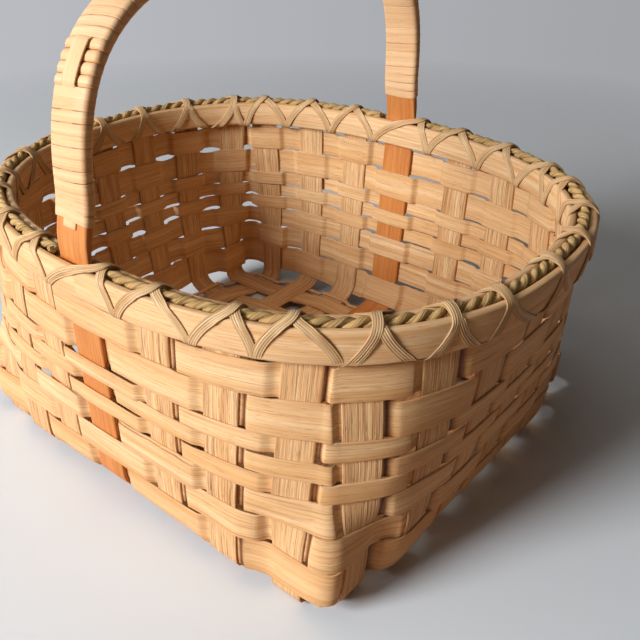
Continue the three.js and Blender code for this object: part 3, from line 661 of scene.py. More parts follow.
def weaver_grid(row, top, bottom, frame_at, first, laps_over=OVERLAP_STAKES, wobble=0.0, opens=(0, 0)):
    """The strip of one row, from the outside of the stake called first to beyond its own start."""
    section, edge = splint_section(bottom - top, WEAVER_THICKNESS, points=5)
    lanes, through = (top + bottom) / 2 - section[:, 0], section[:, 1]
    depths = lanes if frame_at is wall_lane else np.full(len(lanes), rows[-1][1])
    runs, spans, slot_shades, previous, last = [], [], [], None, ENDS + laps_over
    for step in range(last + 1):
        order = (first + step) % ENDS
        side, gap, sway = on_stake(order, row, step, laps_over)
        point, across, out, _ = frame_at(order, lanes)
        places = ON_STAKE[2:] if step == 0 else ON_STAKE[:3] if step == last else ON_STAKE
        offset = side * (gap + ARCH_OVER_STAKE * (1 - places ** 2)) + sway
        aside = across * (places * RING_HALF[order])[:, None, None]
        parts = [point + aside + out * (offset[:, None] + through)[..., None]]
        ways, shares = [across, across], [np.zeros(len(places))]
        level = side * gap + sway + through
        other_level = -side * (CROSSING + WEAVE_PLAY - STAKE_SWAY) + through
        for way in (-1, 1):
            if step == (0 if way < 0 else last):
                continue
            beyond, share, ahead = beyond_stake(order, lanes, depths, frame_at, side, way, level, other_level)
            parts = [beyond[::-1]] + parts if way < 0 else parts + [beyond]
            shares = [share[::-1]] + shares if way < 0 else shares + [share]
            ways[way > 0] = ahead
        on, share = np.concatenate(parts), np.concatenate(shares)
        if previous is not None:
            last_point, last_way, last_share = previous
            steps = CORNER_STEPS if RING_WALL[order] != RING_WALL[order - 1] else DIVE_STEPS
            runs.append(bend_between(last_point, last_way, on[0], ways[0], steps))
            # The painted slot shade fades out along the bend towards the next stake.
            slot_shades.append(slot_shades[-1][-1] * (1 - inner_shares(steps)) ** 2)
            spans.append(opening(np.linspace(last_share, 1 - share[0], steps + 2)[1:-1], order))
        runs.append(on)
        spans.append(opening(share, order))
        slot_shades.append(np.zeros(len(on)))
        # Painted shade in the slot where the weaver comes out from behind a stake, strongest at the stake's
        # edge.
        if side < 0 and step < last:
            slot_shades[-1][-len(beyond):] = SLOT_SHADE_STRENGTH * np.linspace(1, 0, len(beyond)) ** 2
        previous = on[-1], ways[1], share[-1]
    grid, span = np.concatenate(runs), np.concatenate(spans)[:, None]
    run = np.linspace(0, 1, len(grid))[:, None]
    own = smooth_wave(run, 1, wobble * OWN_WOBBLE, OWN_SEED + row, OWN_WAVES)
    drift = smooth_wave(run, 1, wobble, DRIFT_SEED) + own
    stretch = sum(smooth_wave(run, 1, strength, seed + row, waves) for strength, seed, waves in WIDTH_WAVES)
    uneven = HOLES_MEAN + smooth_wave(run, 1, HOLES_DIFFER, HOLE_SEED + row, HOLE_WAVES)
    height = section[:, 0] / section[:, 0].max()
    draw_in = opens[1] * np.clip(-height, 0, 1) ** 2 - opens[0] * np.clip(height, 0, 1) ** 2
    grid[..., 2] += drift - section[:, 0] * stretch + span * uneven * draw_in
    # The painted slot shade lies on the outer face only.
    slot_shade_outside = np.concatenate(slot_shades)[:, None] * (through > 0)
    return grid, edge + slot_shade_outside


# %% [markdown]
# Each row is let out until it touches its neighbours. Only under the first, fourth, fifth and seventh row do
# real holes open. Every row starts at another stake, so that the double places do not lie over each other.

# %% The rows
EDGE_PLAY, LAST_ROW_REACHES = 0.1, 3.0
OPENS_UNDER, OPENS_A_LITTLE = {1: 0.75, 4: 0.4, 5: 0.9, 7: 0.25}, 0.05
ROW_STARTS = [24, 17, 22, 15, 20, 19, 26, 21, 16, 23]
LAST_ROW_WOBBLE = 0.12
HIDDEN_ROW = (3.4, RIM_HOOP_HEIGHT - 0.9)


def row_start(row):
    """A stake that the row passes outside of, so that the end of the splint is hidden under its overlap."""
    start = ROW_STARTS[row]
    return start if not stake_is_outside(start, row) else start + 1


def drawn_row(row):
    """Depths of a row's edges, let out until it touches its neighbours, and how far each edge draws in."""
    (top, bottom), last = rows[row - 1], len(rows)
    above = (top - rows[row - 2][1] - EDGE_PLAY) / 2 if row > 1 else 0
    below = (rows[row][0] - bottom - EDGE_PLAY) / 2 if row < last else LAST_ROW_REACHES
    opens = [OPENS_UNDER.get(k, OPENS_A_LITTLE) if 0 < k < last else 0 for k in (row - 1, row)]
    return top - above, bottom + below, opens


weaver_tones = chance.uniform(-1, 1, len(ROW_STARTS))
for row in range(len(rows) + 1):
    top, bottom, opens = drawn_row(row) if row else (*HIDDEN_ROW, (0, 0))
    wobble = 0.0 if row == 0 else ROW_WOBBLE if row < len(rows) else LAST_ROW_WOBBLE
    grid, edge = weaver_grid(row, top, bottom, wall_lane, row_start(row), wobble=wobble, opens=opens)
    name = f"weaver_row_{row}" if row else "weaver_behind_rim"
    made = strip(grid, tone=weaver_tones[row], edge=edge)
    make_piece(f"{name}_splint", [made], weaver_wood, [name])
print("weavers:", len(rows) + 1, "with", len(grid), "stations in the last")

# %% [markdown]
# A stake is one splint that runs down a wall, across the base, where it weaves with those that cross it, and
# up the opposite wall. It could be bent along a curve object, but its place is known at each depth, so it is
# a strip like the weavers. It sways a little from row to row, because the weavers push it in and out.

# %% Where stakes cross in the base
def stake_line(wall, arc):
    """The straight line of a stake in the base, as the middle of its fold's end."""
    place = stake_frame(wall, arc, fold_end(wall, arc))[0]
    return float(place[0] if wall % 2 == 0 else place[1])


numbers = range(-SIDE_STAKES, SIDE_STAKES + 1)
LINE_X = {i: stake_line(0, handle_wall_arc(i)) for i in numbers}
LINE_Y = {j: stake_line(1, end_wall_arc(j)) for j in numbers}
BASE_GAP = 0.12


def crossing_shift(along_y, i, j):
    """How far a stake bends up where it crosses another in the base. The handle hoop is too stiff to bend."""
    thickness = (HANDLE_TAIL if i == 0 else STAKE_THICKNESS) / 2 + STAKE_THICKNESS / 2 + BASE_GAP
    share = float(not along_y) if i == 0 else 0.5
    side = (-1 if (i + j) % 2 == 0 else 1) * (1 if along_y else -1)
    return thickness * share * side


def fold_shift(wall, number):
    own = number if wall < 2 else -number
    outermost = -SIDE_STAKES if wall in (0, 3) else SIDE_STAKES
    return crossing_shift(True, own, outermost) if wall % 2 == 0 else crossing_shift(False, outermost, own)


def stake_order(wall, number):
    return next(k for k, stake in enumerate(ring) if stake[0] == wall and stake[1] == number)


print("base crossings at x", [round(x, 1) for x in LINE_X.values()])

# %% Stakes
STAKE_TOP, STATION = 3.0, 3.0
ABOVE_ROWS, SHIFTS_OVER = -5.0, 12
STAKE_CROWN, STAKE_POINTS = 0.08, 7
row_middles = [sum(HIDDEN_ROW) / 2] + [(top + bottom) / 2 for top, bottom in rows]


def sway_at(order, down):
    """How far the weavers push a stake out of the wall's middle, by depth."""
    signs = [1.0 if stake_is_outside(order, row) else -1.0 for row in range(len(rows) + 1)]
    return STAKE_SWAY * np.interp(down, [ABOVE_ROWS, *row_middles, RIM_Z], [0.0, *signs, 0.0])


def wall_stations(wall, number, top, sways):
    """Centre, across and outward from the rim down to the end of the fold."""
    arc = stake_arc(wall, number)
    end = fold_end(wall, arc)
    down = np.linspace(top, end, int((end - top) / STATION))
    point, across, out, _ = stake_frame(wall, arc, down)
    if sways:
        point = point + out * sway_at(stake_order(wall, number), down)[:, None]
    point[:, 2] += fold_shift(wall, number) * smoothstep(down, end - SHIFTS_OVER, end)
    return point, across, out


def stake_path(along_y, number, top=STAKE_TOP, sways=True):
    first = 0 if along_y else 1
    down_path = wall_stations(first, number, top, sways)
    point, across, out = (part[::-1] for part in wall_stations(first + 2, -number, top, sways))
    start, end = down_path[0][-1], point[0]
    steps = int(np.linalg.norm(end - start) / STATION)
    base = start + (end - start) * (np.arange(1, steps) / steps)[:, None]
    shifts = np.array([crossing_shift(along_y, *((number, k) if along_y else (k, number))) for k in numbers])
    lines = np.array(list((LINE_Y if along_y else LINE_X).values()))
    order = np.argsort(lines)
    wave = np.interp(base[:, 1 if along_y else 0], lines[order], shifts[order])
    strength = np.abs(shifts).max() or 1
    wave = strength * np.sin(np.clip(wave / strength, -1, 1) * math.pi / 2)
    base[:, 2] = base_height(base[:, 0], base[:, 1])[0] + wave
    flat = [np.tile(way, (len(base), 1)) for way in (down_path[1][-1], (0.0, 0.0, -1.0))]
    return [np.concatenate(parts) for parts in zip(down_path, (base, *flat), (point, -across, out))]


stake_profile, stake_edge = splint_section(STAKE_WIDTH, STAKE_THICKNESS, STAKE_CROWN, STAKE_POINTS)
beside = [number for number in numbers if number]
stakes = [(f"stake_beside_handle_{k}", True, number) for k, number in enumerate(beside, 1)]
stakes += [(f"stake_across_{k}", False, number) for k, number in enumerate(numbers, 1)]
for name, along_y, number in stakes:
    made = sweep(*stake_path(along_y, number), stake_profile, stake_edge, tone=chance.uniform(-1, 1))
    make_piece(f"{name}_splint", [made], stake_wood, [name])
print("stakes:", len(stakes))

# %% [markdown]
# Under the last row a narrow splint locks the stakes where they fold. It lies flat in the base, on edge to
# the wall, and shows as a thin loop round each corner. The function that makes the rows weaves it too, on
# lanes that count inward from the fold.

# %% The lock row
LOCK_WIDTH, LOCK_FROM_FOLD, LOCK_TONE = 3.6, 0.3, 0.2


def base_lane(order, lanes):
    wall, number, arc, _ = ring[order]
    end = fold_end(wall, arc)
    point, across, out, _ = stake_frame(wall, arc, np.full(len(lanes), end))
    inward = columns(-across[:, 1], across[:, 0], np.zeros(len(lanes)))
    point = point + inward * lanes[:, None]
    point[:, 2] += fold_shift(wall, number)
    return point, across, out, end


lock_row = len(rows) + 1
edges = LOCK_FROM_FOLD, LOCK_FROM_FOLD + LOCK_WIDTH
grid, edge = weaver_grid(lock_row, *edges, base_lane, row_start(lock_row), laps_over=1, wobble=0.0)
lock = strip(grid, tone=LOCK_TONE, edge=edge)
make_piece("weaver_base_lock_splint", [lock], weaver_wood, ["weaver_base_lock"])
print("lock row:", grid.shape[0], "stations")

# %% [markdown]
# The handle is one bentwood hoop. Its thin tails run down both walls and under the base like two more stakes,
# and its middle swells into the grip. A maker shaves the tails from the same piece, so here one section
# changes its thickness along one closed path.

# %% The arch of the handle
HANDLE_RISE, ARCH_ROUNDNESS = 101.5, 3.4
ARCH_LEAN_IN, ARCH_LEANS_OVER = 4, 28
ARCH_POINTS, SLOPE_OVER = 4001, 2
arch_foot = wall_frame(0, HANDLE_ASIDE, 0.0)[0]
turn = np.linspace(0, math.pi, ARCH_POINTS)
arch_rise = HANDLE_RISE * np.abs(np.sin(turn)) ** (2 / ARCH_ROUNDNESS)
half_span = -arch_foot[1] - ARCH_LEAN_IN * smoothstep(arch_rise, 0, ARCH_LEANS_OVER)
arch_y = -np.sign(np.cos(turn)) * half_span * np.abs(np.cos(turn)) ** (2 / ARCH_ROUNDNESS)
arch_z = RIM_Z + arch_rise
arch_lengths = lengths_along(columns(arch_y, arch_z))
ARCH_LENGTH = arch_lengths[-1]


def arch_frame(length):
    """Centre, along and outward on the handle's middle line, by length from the rim on the -Y side."""
    def at(value):
        y, z = np.interp(value, arch_lengths, arch_y), np.interp(value, arch_lengths, arch_z)
        return columns(np.full_like(y, arch_foot[0]), y, z)

    ahead, behind = np.minimum(length + SLOPE_OVER, ARCH_LENGTH), np.maximum(length - SLOPE_OVER, 0)
    along = unit(at(ahead) - at(behind))
    out = columns(np.zeros_like(length), -along[..., 2], along[..., 1])
    return at(length), along, out


print("handle arch is", round(ARCH_LENGTH), "mm long")

# %% The handle hoop
THICKENS_OVER, ARCH_STATIONS = 10, 150
TAIL_BULGE, GRIP_BULGE, HOOP_TONE = 0.1, 0.15, 0.1
MOST_CORNER = 0.45
CORNERS = np.array([(1, 1), (-1, 1), (-1, -1), (1, -1)])


def circle(angle):
    return columns(np.cos(angle), np.sin(angle))


def rounded_bar(width, thickness, corner=1.1, bulge=0.0):
    """A rectangle with rounded corners, and two faces that swell a little."""
    corner = min(corner, thickness * MOST_CORNER)
    angle = np.radians(np.add.outer([0, 90, 180, 270], [0, 30, 60, 90]))
    middles = CORNERS * (width / 2 - corner, thickness / 2 - corner)
    arcs = middles[:, None] + corner * circle(angle)
    faces = (arcs[:, -1] + np.roll(arcs[:, 0], -1, axis=0)) / 2
    faces[:, 1] += np.array([bulge, 0, -bulge, 0])
    return np.concatenate([arcs, faces[:, None]], 1).reshape(-1, 2)


tail_centre, _, tail_out = stake_path(True, 0, top=0.0, sways=False)
arch_centre, _, arch_out = arch_frame(ARCH_LENGTH - np.linspace(0, ARCH_LENGTH, ARCH_STATIONS)[1:-1])
grip = HANDLE_TAIL + (HANDLE_GRIP - HANDLE_TAIL) * smoothstep(arch_centre[:, 2] - RIM_Z, 0, THICKENS_OVER)
sections = [rounded_bar(HANDLE_WIDTH, HANDLE_TAIL, bulge=TAIL_BULGE)] * len(tail_centre)
sections += [rounded_bar(HANDLE_WIDTH, thickness, bulge=GRIP_BULGE) for thickness in grip]
centre = np.concatenate([tail_centre, arch_centre])
X_AXIS = np.array([1.0, 0, 0])
across = np.tile(X_AXIS, (len(centre), 1))
out = np.concatenate([tail_out, arch_out])
hoop = sweep(centre, across, out, np.array(sections), closed=True, tone=HOOP_TONE)
make_piece("handle_hoop_wood", [hoop], bent_wood, ["handle_hoop"])
print("handle hoop:", len(centre), "stations")

# %% [markdown]
# The rim is a sandwich: the tops of the stakes between an outer and an inner hoop, with a twisted grass rope
# in the channel over them. The hoops are thicker splints, flat outside, with their edges worn round.

# %% Rim hoops
HOOP_THICKNESS, HOOP_INNER, HOOP_EDGE = 3.5, 2.8, 1.3
HOOP_OUTER = HOOP_INNER + HOOP_THICKNESS
RIM_MIDDLE = RIM_HOOP_HEIGHT / 2
RIM_QUARTER = float(quarter_length(RIM_MIDDLE))
HOOP_STATIONS = 360
HOOP_BULGE, HOOP_TONES = 0.12, 0.3
HOOP_WANDER, HOOP_SEED, HOOP_WAVES = 0.12, 90, (3, 7, 12, 19)


def rim_frame(run, down):
    """Places all round the rim, by arc from the handle leg on the -Y wall at the hoops' middle."""
    share = np.asarray(run, float) / RIM_QUARTER
    nearest = np.round(share)
    arc = (share - nearest) * quarter_length(down)
    return wall_frame(nearest.astype(int) % 4, arc, down)


def stake_run(order):
    wall, number, arc, _ = ring[order % ENDS]
    lap = order // ENDS + (1 if wall == 0 and number < 0 else 0)
    return arc + RIM_QUARTER * (wall + 4 * lap)


bar = rounded_bar(RIM_HOOP_HEIGHT, HOOP_THICKNESS, HOOP_EDGE, HOOP_BULGE)
hoop_down, hoop_out = RIM_MIDDLE - bar[:, 0], HOOP_INNER + HOOP_THICKNESS / 2 + bar[:, 1]
hoop_edge = np.abs((hoop_down - RIM_MIDDLE) / RIM_MIDDLE) ** 6
run = np.linspace(0, 4 * RIM_QUARTER, HOOP_STATIONS, endpoint=False)
point, _, out, _ = rim_frame(run[:, None], hoop_down[None])
for name, side in (("rim_outer_hoop", 1), ("rim_inner_hoop", -1)):
    grid = point + out * (side * hoop_out)[:, None]
    grid[..., 2] += smooth_wave(run, 4 * RIM_QUARTER, HOOP_WANDER, HOOP_SEED + side, HOOP_WAVES)[:, None]
    made = strip(grid, True, HOOP_TONES * side, hoop_edge)
    make_piece(f"{name}_splint", [made], rim_wood, [name])
print("rim is", round(4 * RIM_QUARTER), "mm round")

# %% [markdown]
# The filler is a rope of two twisted plies of grass. Two round tubes wound round each other would look like
# cord, so each ply has a lobed section that turns along it, as its own strands do.

# %% Grass rope in the channel
FILLER_DIAMETER, FILLER_OVER_STAKES = 4.8, 0.3
FILLER_Z = RIM_Z - STAKE_TOP + FILLER_OVER_STAKES + FILLER_DIAMETER / 2
FILLER_FROM_LEG = 1.5
FILLER_END = HANDLE_WIDTH / 2 + FILLER_FROM_LEG + FILLER_DIAMETER / 2
ROPE_PITCH, ROPE_STATION = 14.4, 1.0
PLY_RADIUS, PLY_OFFSET, PLY_POINTS = 1.5, 1.05, 16
PLY_LOOSENESS, LOOSE_OVER, PLY_SEED, PLY_WAVES = 0.05, 200, 7, (5, 9, 14)
STRAND_LOBES, STRAND_DEPTH, STRAND_TURNS = 5, 0.12, 1.6


def rope(first_leg):
    """The two plies of a rope along the rim, from one handle leg to the other."""
    start, end = stake_run(first_leg) + FILLER_END, stake_run(first_leg + ENDS // 2) - FILLER_END
    run = np.arange(start, end, ROPE_STATION)
    point, along, out, _ = rim_frame(run, RIM_MIDDLE)
    point[:, 2] = FILLER_Z
    angle = np.linspace(0, 2 * math.pi, PLY_POINTS, endpoint=False)
    made = []
    for ply in range(2):
        turn = 2 * math.pi * run / ROPE_PITCH + ply * math.pi + first_leg
        loose = 1 + smooth_wave(run, LOOSE_OVER, PLY_LOOSENESS, PLY_SEED + ply, PLY_WAVES)
        side = out * np.cos(turn)[:, None] + np.array([0, 0, 1]) * np.sin(turn)[:, None]
        lobes = np.cos(STRAND_LOBES * (angle + STRAND_TURNS * turn[:, None]))
        swell = PLY_RADIUS * (1 + STRAND_DEPTH * lobes)
        section = swell[..., None] * circle(angle)
        centre = point + side * (PLY_OFFSET * loose)[:, None]
        made.append(sweep(centre, along, side, section, tone=chance.uniform(-1, 1)))
    return made


for side, first_leg in (("right", 0), ("left", ENDS // 2)):
    make_piece(f"rim_filler_{side}_rope", rope(first_leg), grass, [f"rim_filler_{side}"])
print("rope: two lengths of", round(2 * (RIM_QUARTER - FILLER_END)), "mm")

# %% [markdown]
# The lacing is flat cane, wound twice round the rim in opposite directions, so that it crosses over each
# stake and dives under the hoops in each space. To lie tight it follows the line of a string drawn round the
# two hoops and the rope. That line is found from circles at the corners: at each angle the furthest circle
# counts.

# %% A string round circles
def string_round(circles, angle, off):
    """The line of a string drawn round some circles, at a distance outside them."""
    normal = circle(angle)
    furthest = circles[np.argmax(circles[:, :2] @ normal.T + circles[:, 2:], axis=0)]
    return furthest[:, :2] + (furthest[:, 2:] + off) * normal


def read_off(places, known, line):
    """The points of a line at some places, from the places known for its own points."""
    return columns(*(np.interp(places, known, column) for column in line.T))


def evenly(line, steps):
    """Points at even steps along a line."""
    length = lengths_along(line)
    even = np.linspace(0, length[-1], steps + 1)
    return read_off(even, length, line)


def outside_of(ahead):
    """The directions to the right of a line that goes counterclockwise."""
    return unit(columns(ahead[:, 1], -ahead[:, 0]))


def smoothed(line, kernel):
    """Each point mixed with its neighbours. The ends, which have too few, are left out."""
    return columns(*(np.convolve(column, kernel, "valid") for column in line.T))


# %% The outline that the lacing follows
LACE_WIDTH, LACE_THICKNESS, LACE_PLAY = 4.2, 0.8, 0.06
OUTLINE_ANGLES, OUTLINE_STEPS = 2000, 240
EASED_BY, EASED_REACH = 0.6, 3
out, low = HOOP_OUTER - HOOP_EDGE, -(RIM_HOOP_HEIGHT - HOOP_EDGE)
circles = [(x, y, HOOP_EDGE) for x in (out, -out) for y in (-HOOP_EDGE, low)]
circles.append((0, FILLER_Z - RIM_Z, FILLER_DIAMETER / 2))
angle = np.linspace(-math.pi / 2, 1.5 * math.pi, OUTLINE_ANGLES)
line = string_round(np.array(circles), angle, LACE_THICKNESS / 2 + LACE_PLAY)
underside = np.array([[0, line[:, 1].min()]])
LASHING = evenly(np.concatenate([underside, line[1:-1], underside]), OUTLINE_STEPS)
kernel = np.ones(2 * EASED_REACH + 1) / (2 * EASED_REACH + 1)
closed = np.concatenate([LASHING[-EASED_REACH - 1:-1], LASHING, LASHING[1:EASED_REACH + 1]])
LASHING = LASHING + (smoothed(closed, kernel) - LASHING) * EASED_BY
print("once round the rim's section is", round(float(lengths_along(LASHING)[-1]), 1), "mm")

# %% [markdown]
# A lace dives in each space and tops each stake, but never quite in the middle. The places that show best are
# set one by one, in millimetres aside, and the others are drawn at random. On its way a lace also hooks: it
# starts steeply and bends over, or the reverse, by a power that differs from stake to stake.

# %% Where the laces cross
LACE_BESIDE_HANDLE, LACE_STRAYS = 2, 1.2
CROSSES_ASIDE = {0: 5.2, 1: 3.5, 2: 5.6, 3: -4.3, 4: 4.2, 5: 0.9, 6: -6.2, 26: 3.0, 27: 4.5}
DIVES_ASIDE = {0: 6.7, 1: 5.5, 3: 2.4, 4: 4.5, 25: 2.0, 26: 4.0}
lace_nudge = chance.uniform(-LACE_STRAYS, LACE_STRAYS, (2, ENDS))
for nudges, aside in zip(lace_nudge, (DIVES_ASIDE, CROSSES_ASIDE)):
    nudges[list(aside)] = list(aside.values())


def dives_at(order):
    half_here, half_next = RING_HALF[order % ENDS], RING_HALF[(order + 1) % ENDS]
    middle = (stake_run(order) + half_here + stake_run(order + 1) - half_next) / 2
    return middle + lace_nudge[0, order % ENDS]


def crosses_at(order):
    beside = HANDLE_WIDTH / 2 + LACE_WIDTH / 2 + LACE_BESIDE_HANDLE if IS_LEG[order % ENDS] else 0
    middle = stake_run(order) + (beside if RING_WALL[order % ENDS] == 0 else -beside)
    return middle + lace_nudge[1, order % ENDS]


print("laces set by the photo:", len(CROSSES_ASIDE), "crossings,", len(DIVES_ASIDE), "dives")

# %% Lacing
LACE_STATIONS, LACE_HOOK = 44, (1.6, 2.3)
LAYER_PLAY = 0.12
LAYER = LACE_THICKNESS + LAYER_PLAY
CLIMBS_FROM, CLIMB_SHARE = 0.1, 0.82
OVER_AT_TOP, OVER_AT_FOOT = (0.72, 0.95), (0.25, 0.05)
SOFTENS = np.array([1, 2, 3, 2, 1]) / 9
GROOVED_BEVEL, GROOVED_CUT_BACK, GROOVED_CROWN, GROOVED_HOLLOW = 0.35, 0.15, 0.14, 0.08
EDGE_TOP, EDGE_LOW = 0.1, 0.3


def grooved_section(width, thickness, grooves=4, depth=0.12, points=17):
    """A strip with lengthwise grooves on its outer face, and its Edge: 1 at the worn edges, and rising to 1
    down the bottom of each groove as painted shade.
    """
    bevel = thickness * GROOVED_BEVEL
    flat, side = width / 2 - bevel, width / 2 - bevel * GROOVED_CUT_BACK
    u = np.linspace(-flat, flat, points)
    ripple = np.cos((u / flat) * grooves * math.pi)
    rise = depth * ripple - depth + GROOVED_CROWN * (1 - (u / flat) ** 2)
    low, lower = -thickness * EDGE_LOW, -thickness / 2
    under = [[flat, lower], [0, lower + GROOVED_HOLLOW], [-flat, lower]]
    ends = [[side, EDGE_TOP], [side, low], *under, [-side, low], [-side, EDGE_TOP]]
    section = np.concatenate([columns(u, thickness / 2 + rise), ends])
    # Edge: painted shade rising to 1 in each groove's bottom, and 1 round the worn ends.
    return section, np.concatenate([np.clip(-ripple, 0, 1), np.ones(len(ends))])


def lace_hooks_up(order, rises):
    """On one half of the rim the lace starts steeply from below and bends over, on the other the reverse."""
    return (RING_WALL[order % ENDS] in (0, 3)) == rises


def lace_path(rises, first, count):
    """Centre and outward of one lace over a number of stakes. A rising lace lies over the falling one."""
    sign = 1 if rises else -1
    share = np.arange(LACE_STATIONS) / LACE_STATIONS
    climb = 1 - np.abs(1 - 2 * share)
    straight = np.clip((climb - CLIMBS_FROM) / CLIMB_SHARE, 0, 1)
    place = share * (len(LASHING) - 1)
    section = read_off(place, np.arange(len(LASHING)), LASHING)
    ahead = np.gradient(section, axis=0)
    ahead[0] = (1, 0)
    normal = outside_of(ahead)
    if rises:
        over = LAYER * (smoothstep(climb, *OVER_AT_TOP) + smoothstep(climb, *OVER_AT_FOOT))
        section = section + normal * over[:, None]
    centres, outs = [], []
    for order in range(first, first + count):
        start, top, end = dives_at(order), crosses_at(order + 1), dives_at(order + 1)
        power = np.where(share < 0.5, *chance.uniform(*LACE_HOOK, 2))
        steep_first = (share < 0.5) == lace_hooks_up(order + 1, rises)
        eased = np.where(steep_first, straight ** power, 1 - (1 - straight) ** power)
        foot = np.where(share < 0.5, start, end)
        point, _, out, _ = rim_frame(foot + (top - foot) * eased, RIM_MIDDLE)
        outward = sign * out[:, :2]
        flat = point[:, :2] + outward * section[:, :1]
        centres.append(np.concatenate([flat, RIM_Z + section[:, 1:]], -1))
        outs.append(np.concatenate([outward * normal[:, :1], normal[:, 1:]], -1))
    centre, outward = np.concatenate(centres), np.concatenate(outs)
    return smoothed(np.concatenate([centre[[0, 0]], centre, centre[[-1, -1]]]), SOFTENS), outward


lace_profile, lace_wear_and_groove_shade = grooved_section(LACE_WIDTH, LACE_THICKNESS)
for direction, rises in (("rising", True), ("falling", False)):
    for side, first in (("back", ENDS // 4), ("front", 3 * ENDS // 4)):
        centre, out = lace_path(rises, first, ENDS // 2)
        across = unit(np.cross(np.gradient(centre, axis=0), out))
        name = f"lace_{direction}_{side}"
        made = sweep(centre, across, out, lace_profile, lace_wear_and_groove_shade, tone=chance.uniform(-1, 1))
        make_piece(f"{name}_cane", [made], cane, [name])
print("lacing:", 2 * ENDS, "turns")

# %% [markdown]
# The grip is wound with flat cane, turn against turn. The CAD solid has 24 broad turns, where the real one
# has about eighty. A flat runner lies along the handle's outer face. Most turns hold it down, but at each
# shoulder it comes out over four of them, which bulge beside it. The winding starts and ends a little askew.

# %% Places round the grip
BARE_LEG, WRAP_PITCH = 14, 4.28
WRAP_THICKNESS, WRAP_WIDTH, WRAP_PLAY = 0.6, 4.27, 0.05
RUNNER_WIDTH, RUNNER_THICKNESS, RUNNER_CORNER = 8, 0.8, 0.3
GRIP_CORNER, GRIP_ANGLES = 1.0, 1440
TURN_STEPS, TURNS_OVER, RUNNER_SHOWS_AT = 40, 4, 67
half = ARCH_POINTS // 2
wrap_start = float(np.interp(RIM_Z + BARE_LEG, arch_z[:half], arch_lengths[:half]))
WRAP_TURNS = round((ARCH_LENGTH - 2 * wrap_start) / WRAP_PITCH)
FIRST_OVER = round((RUNNER_SHOWS_AT - wrap_start) / WRAP_PITCH)
over_turns = [FIRST_OVER + k for k in range(TURNS_OVER)]
over_turns += [WRAP_TURNS - 1 - turn for turn in over_turns]


def wrap_outline(runner):
    """Points (across, out) round the handle, and its runner if it is there, with their outward directions."""
    across, out = HANDLE_WIDTH / 2 - GRIP_CORNER, HANDLE_GRIP / 2 - GRIP_CORNER
    circles = [(x, y, GRIP_CORNER) for x in (-across, across) for y in (-out, out)]
    if runner:
        top = HANDLE_GRIP / 2 + RUNNER_THICKNESS - RUNNER_CORNER
        circles += [(x, top, RUNNER_CORNER) for x in (-RUNNER_WIDTH / 2, RUNNER_WIDTH / 2)]
    angle = np.linspace(0, 2 * math.pi, GRIP_ANGLES, endpoint=False)
    line = string_round(np.array(circles), angle, WRAP_THICKNESS / 2 + WRAP_PLAY)
    points = evenly(np.concatenate([line, line[:1]]), TURN_STEPS)[:-1]
    return points, outside_of(np.roll(points, -1, axis=0) - np.roll(points, 1, axis=0))


print("grip:", WRAP_TURNS, "turns, runner over turns", sorted(over_turns))

# %% The wound cane
UNEVEN_TURNS, UNEVEN_OVER, TURN_SEED, TURN_WAVES = 0.16, 60, 5, (7, 13, 23)
ASKEW_BY, ASKEW_OVER, ASKEW_PHASE = 1.6, 1.5, 0.6
step = np.arange(WRAP_TURNS * TURN_STEPS + 1)
turn_number, turn_place = step // TURN_STEPS, step % TURN_STEPS
is_free = np.isin(turn_number, over_turns)
length = wrap_start + WRAP_WIDTH / 2 + (ARCH_LENGTH - 2 * wrap_start - WRAP_WIDTH) * step / step[-1]
length = length + smooth_wave(step / TURN_STEPS, UNEVEN_OVER, UNEVEN_TURNS, TURN_SEED, TURN_WAVES)
askew = np.exp(-turn_number / ASKEW_OVER) - np.exp(-(WRAP_TURNS - turn_number) / ASKEW_OVER)
length = length + ASKEW_BY * askew * np.sin(2 * math.pi * turn_place / TURN_STEPS + ASKEW_PHASE)
centre, along, out = arch_frame(length)
held, free = wrap_outline(True), wrap_outline(False)
place, way = (np.where(is_free[:, None], free[k][turn_place], held[k][turn_place]) for k in range(2))
centre = centre - X_AXIS * place[:, :1] + out * place[:, 1:]
facing = out * way[:, 1:] - X_AXIS * way[:, :1]
size = {"width": WRAP_WIDTH, "thickness": WRAP_THICKNESS, "points": 3, "bevel": 0.08}
flat_section, wrap_edge = splint_section(**size, crown=0.06, shoulder=0.3)
round_section = splint_section(**size, crown=0.6, shoulder=0.9)[0]
bulge = (is_free & (place[:, 1] > 0))[:, None, None]
wrap = sweep(centre, along, facing, np.where(bulge, round_section, flat_section), wrap_edge)
turn_tones = chance.uniform(-1, 1, WRAP_TURNS + 1)
wrap["tone"] = np.repeat(turn_tones[turn_number], len(flat_section))
make_piece("handle_wrap_cane", [wrap], wrap_cane, ["handle_wrap"])
print("wound cane:", len(centre), "stations")

# %% The runner
RUNNER_BEYOND, RUNNER_STATIONS = 1, 320
LIFTS_OVER, LIFTS_BY = 1.2, 1.1
RUNNER_TONE, RUNNER_GROOVES = 0.4, {"grooves": 9, "depth": 0.06, "points": 28}
RUNNER_WORN_TO = 0.9
length = np.linspace(wrap_start - RUNNER_BEYOND, ARCH_LENGTH - wrap_start + RUNNER_BEYOND, RUNNER_STATIONS)
shown = wrap_start + WRAP_PITCH * (FIRST_OVER + TURNS_OVER / 2)
half = WRAP_PITCH * TURNS_OVER / 2
lift = sum(1 - smoothstep(np.abs(length - middle), half - LIFTS_OVER, half + LIFTS_OVER)
           for middle in (shown, ARCH_LENGTH - shown))
centre, along, out = arch_frame(length)
rise = HANDLE_GRIP / 2 + RUNNER_THICKNESS / 2 + lift * (WRAP_THICKNESS + LIFTS_BY)
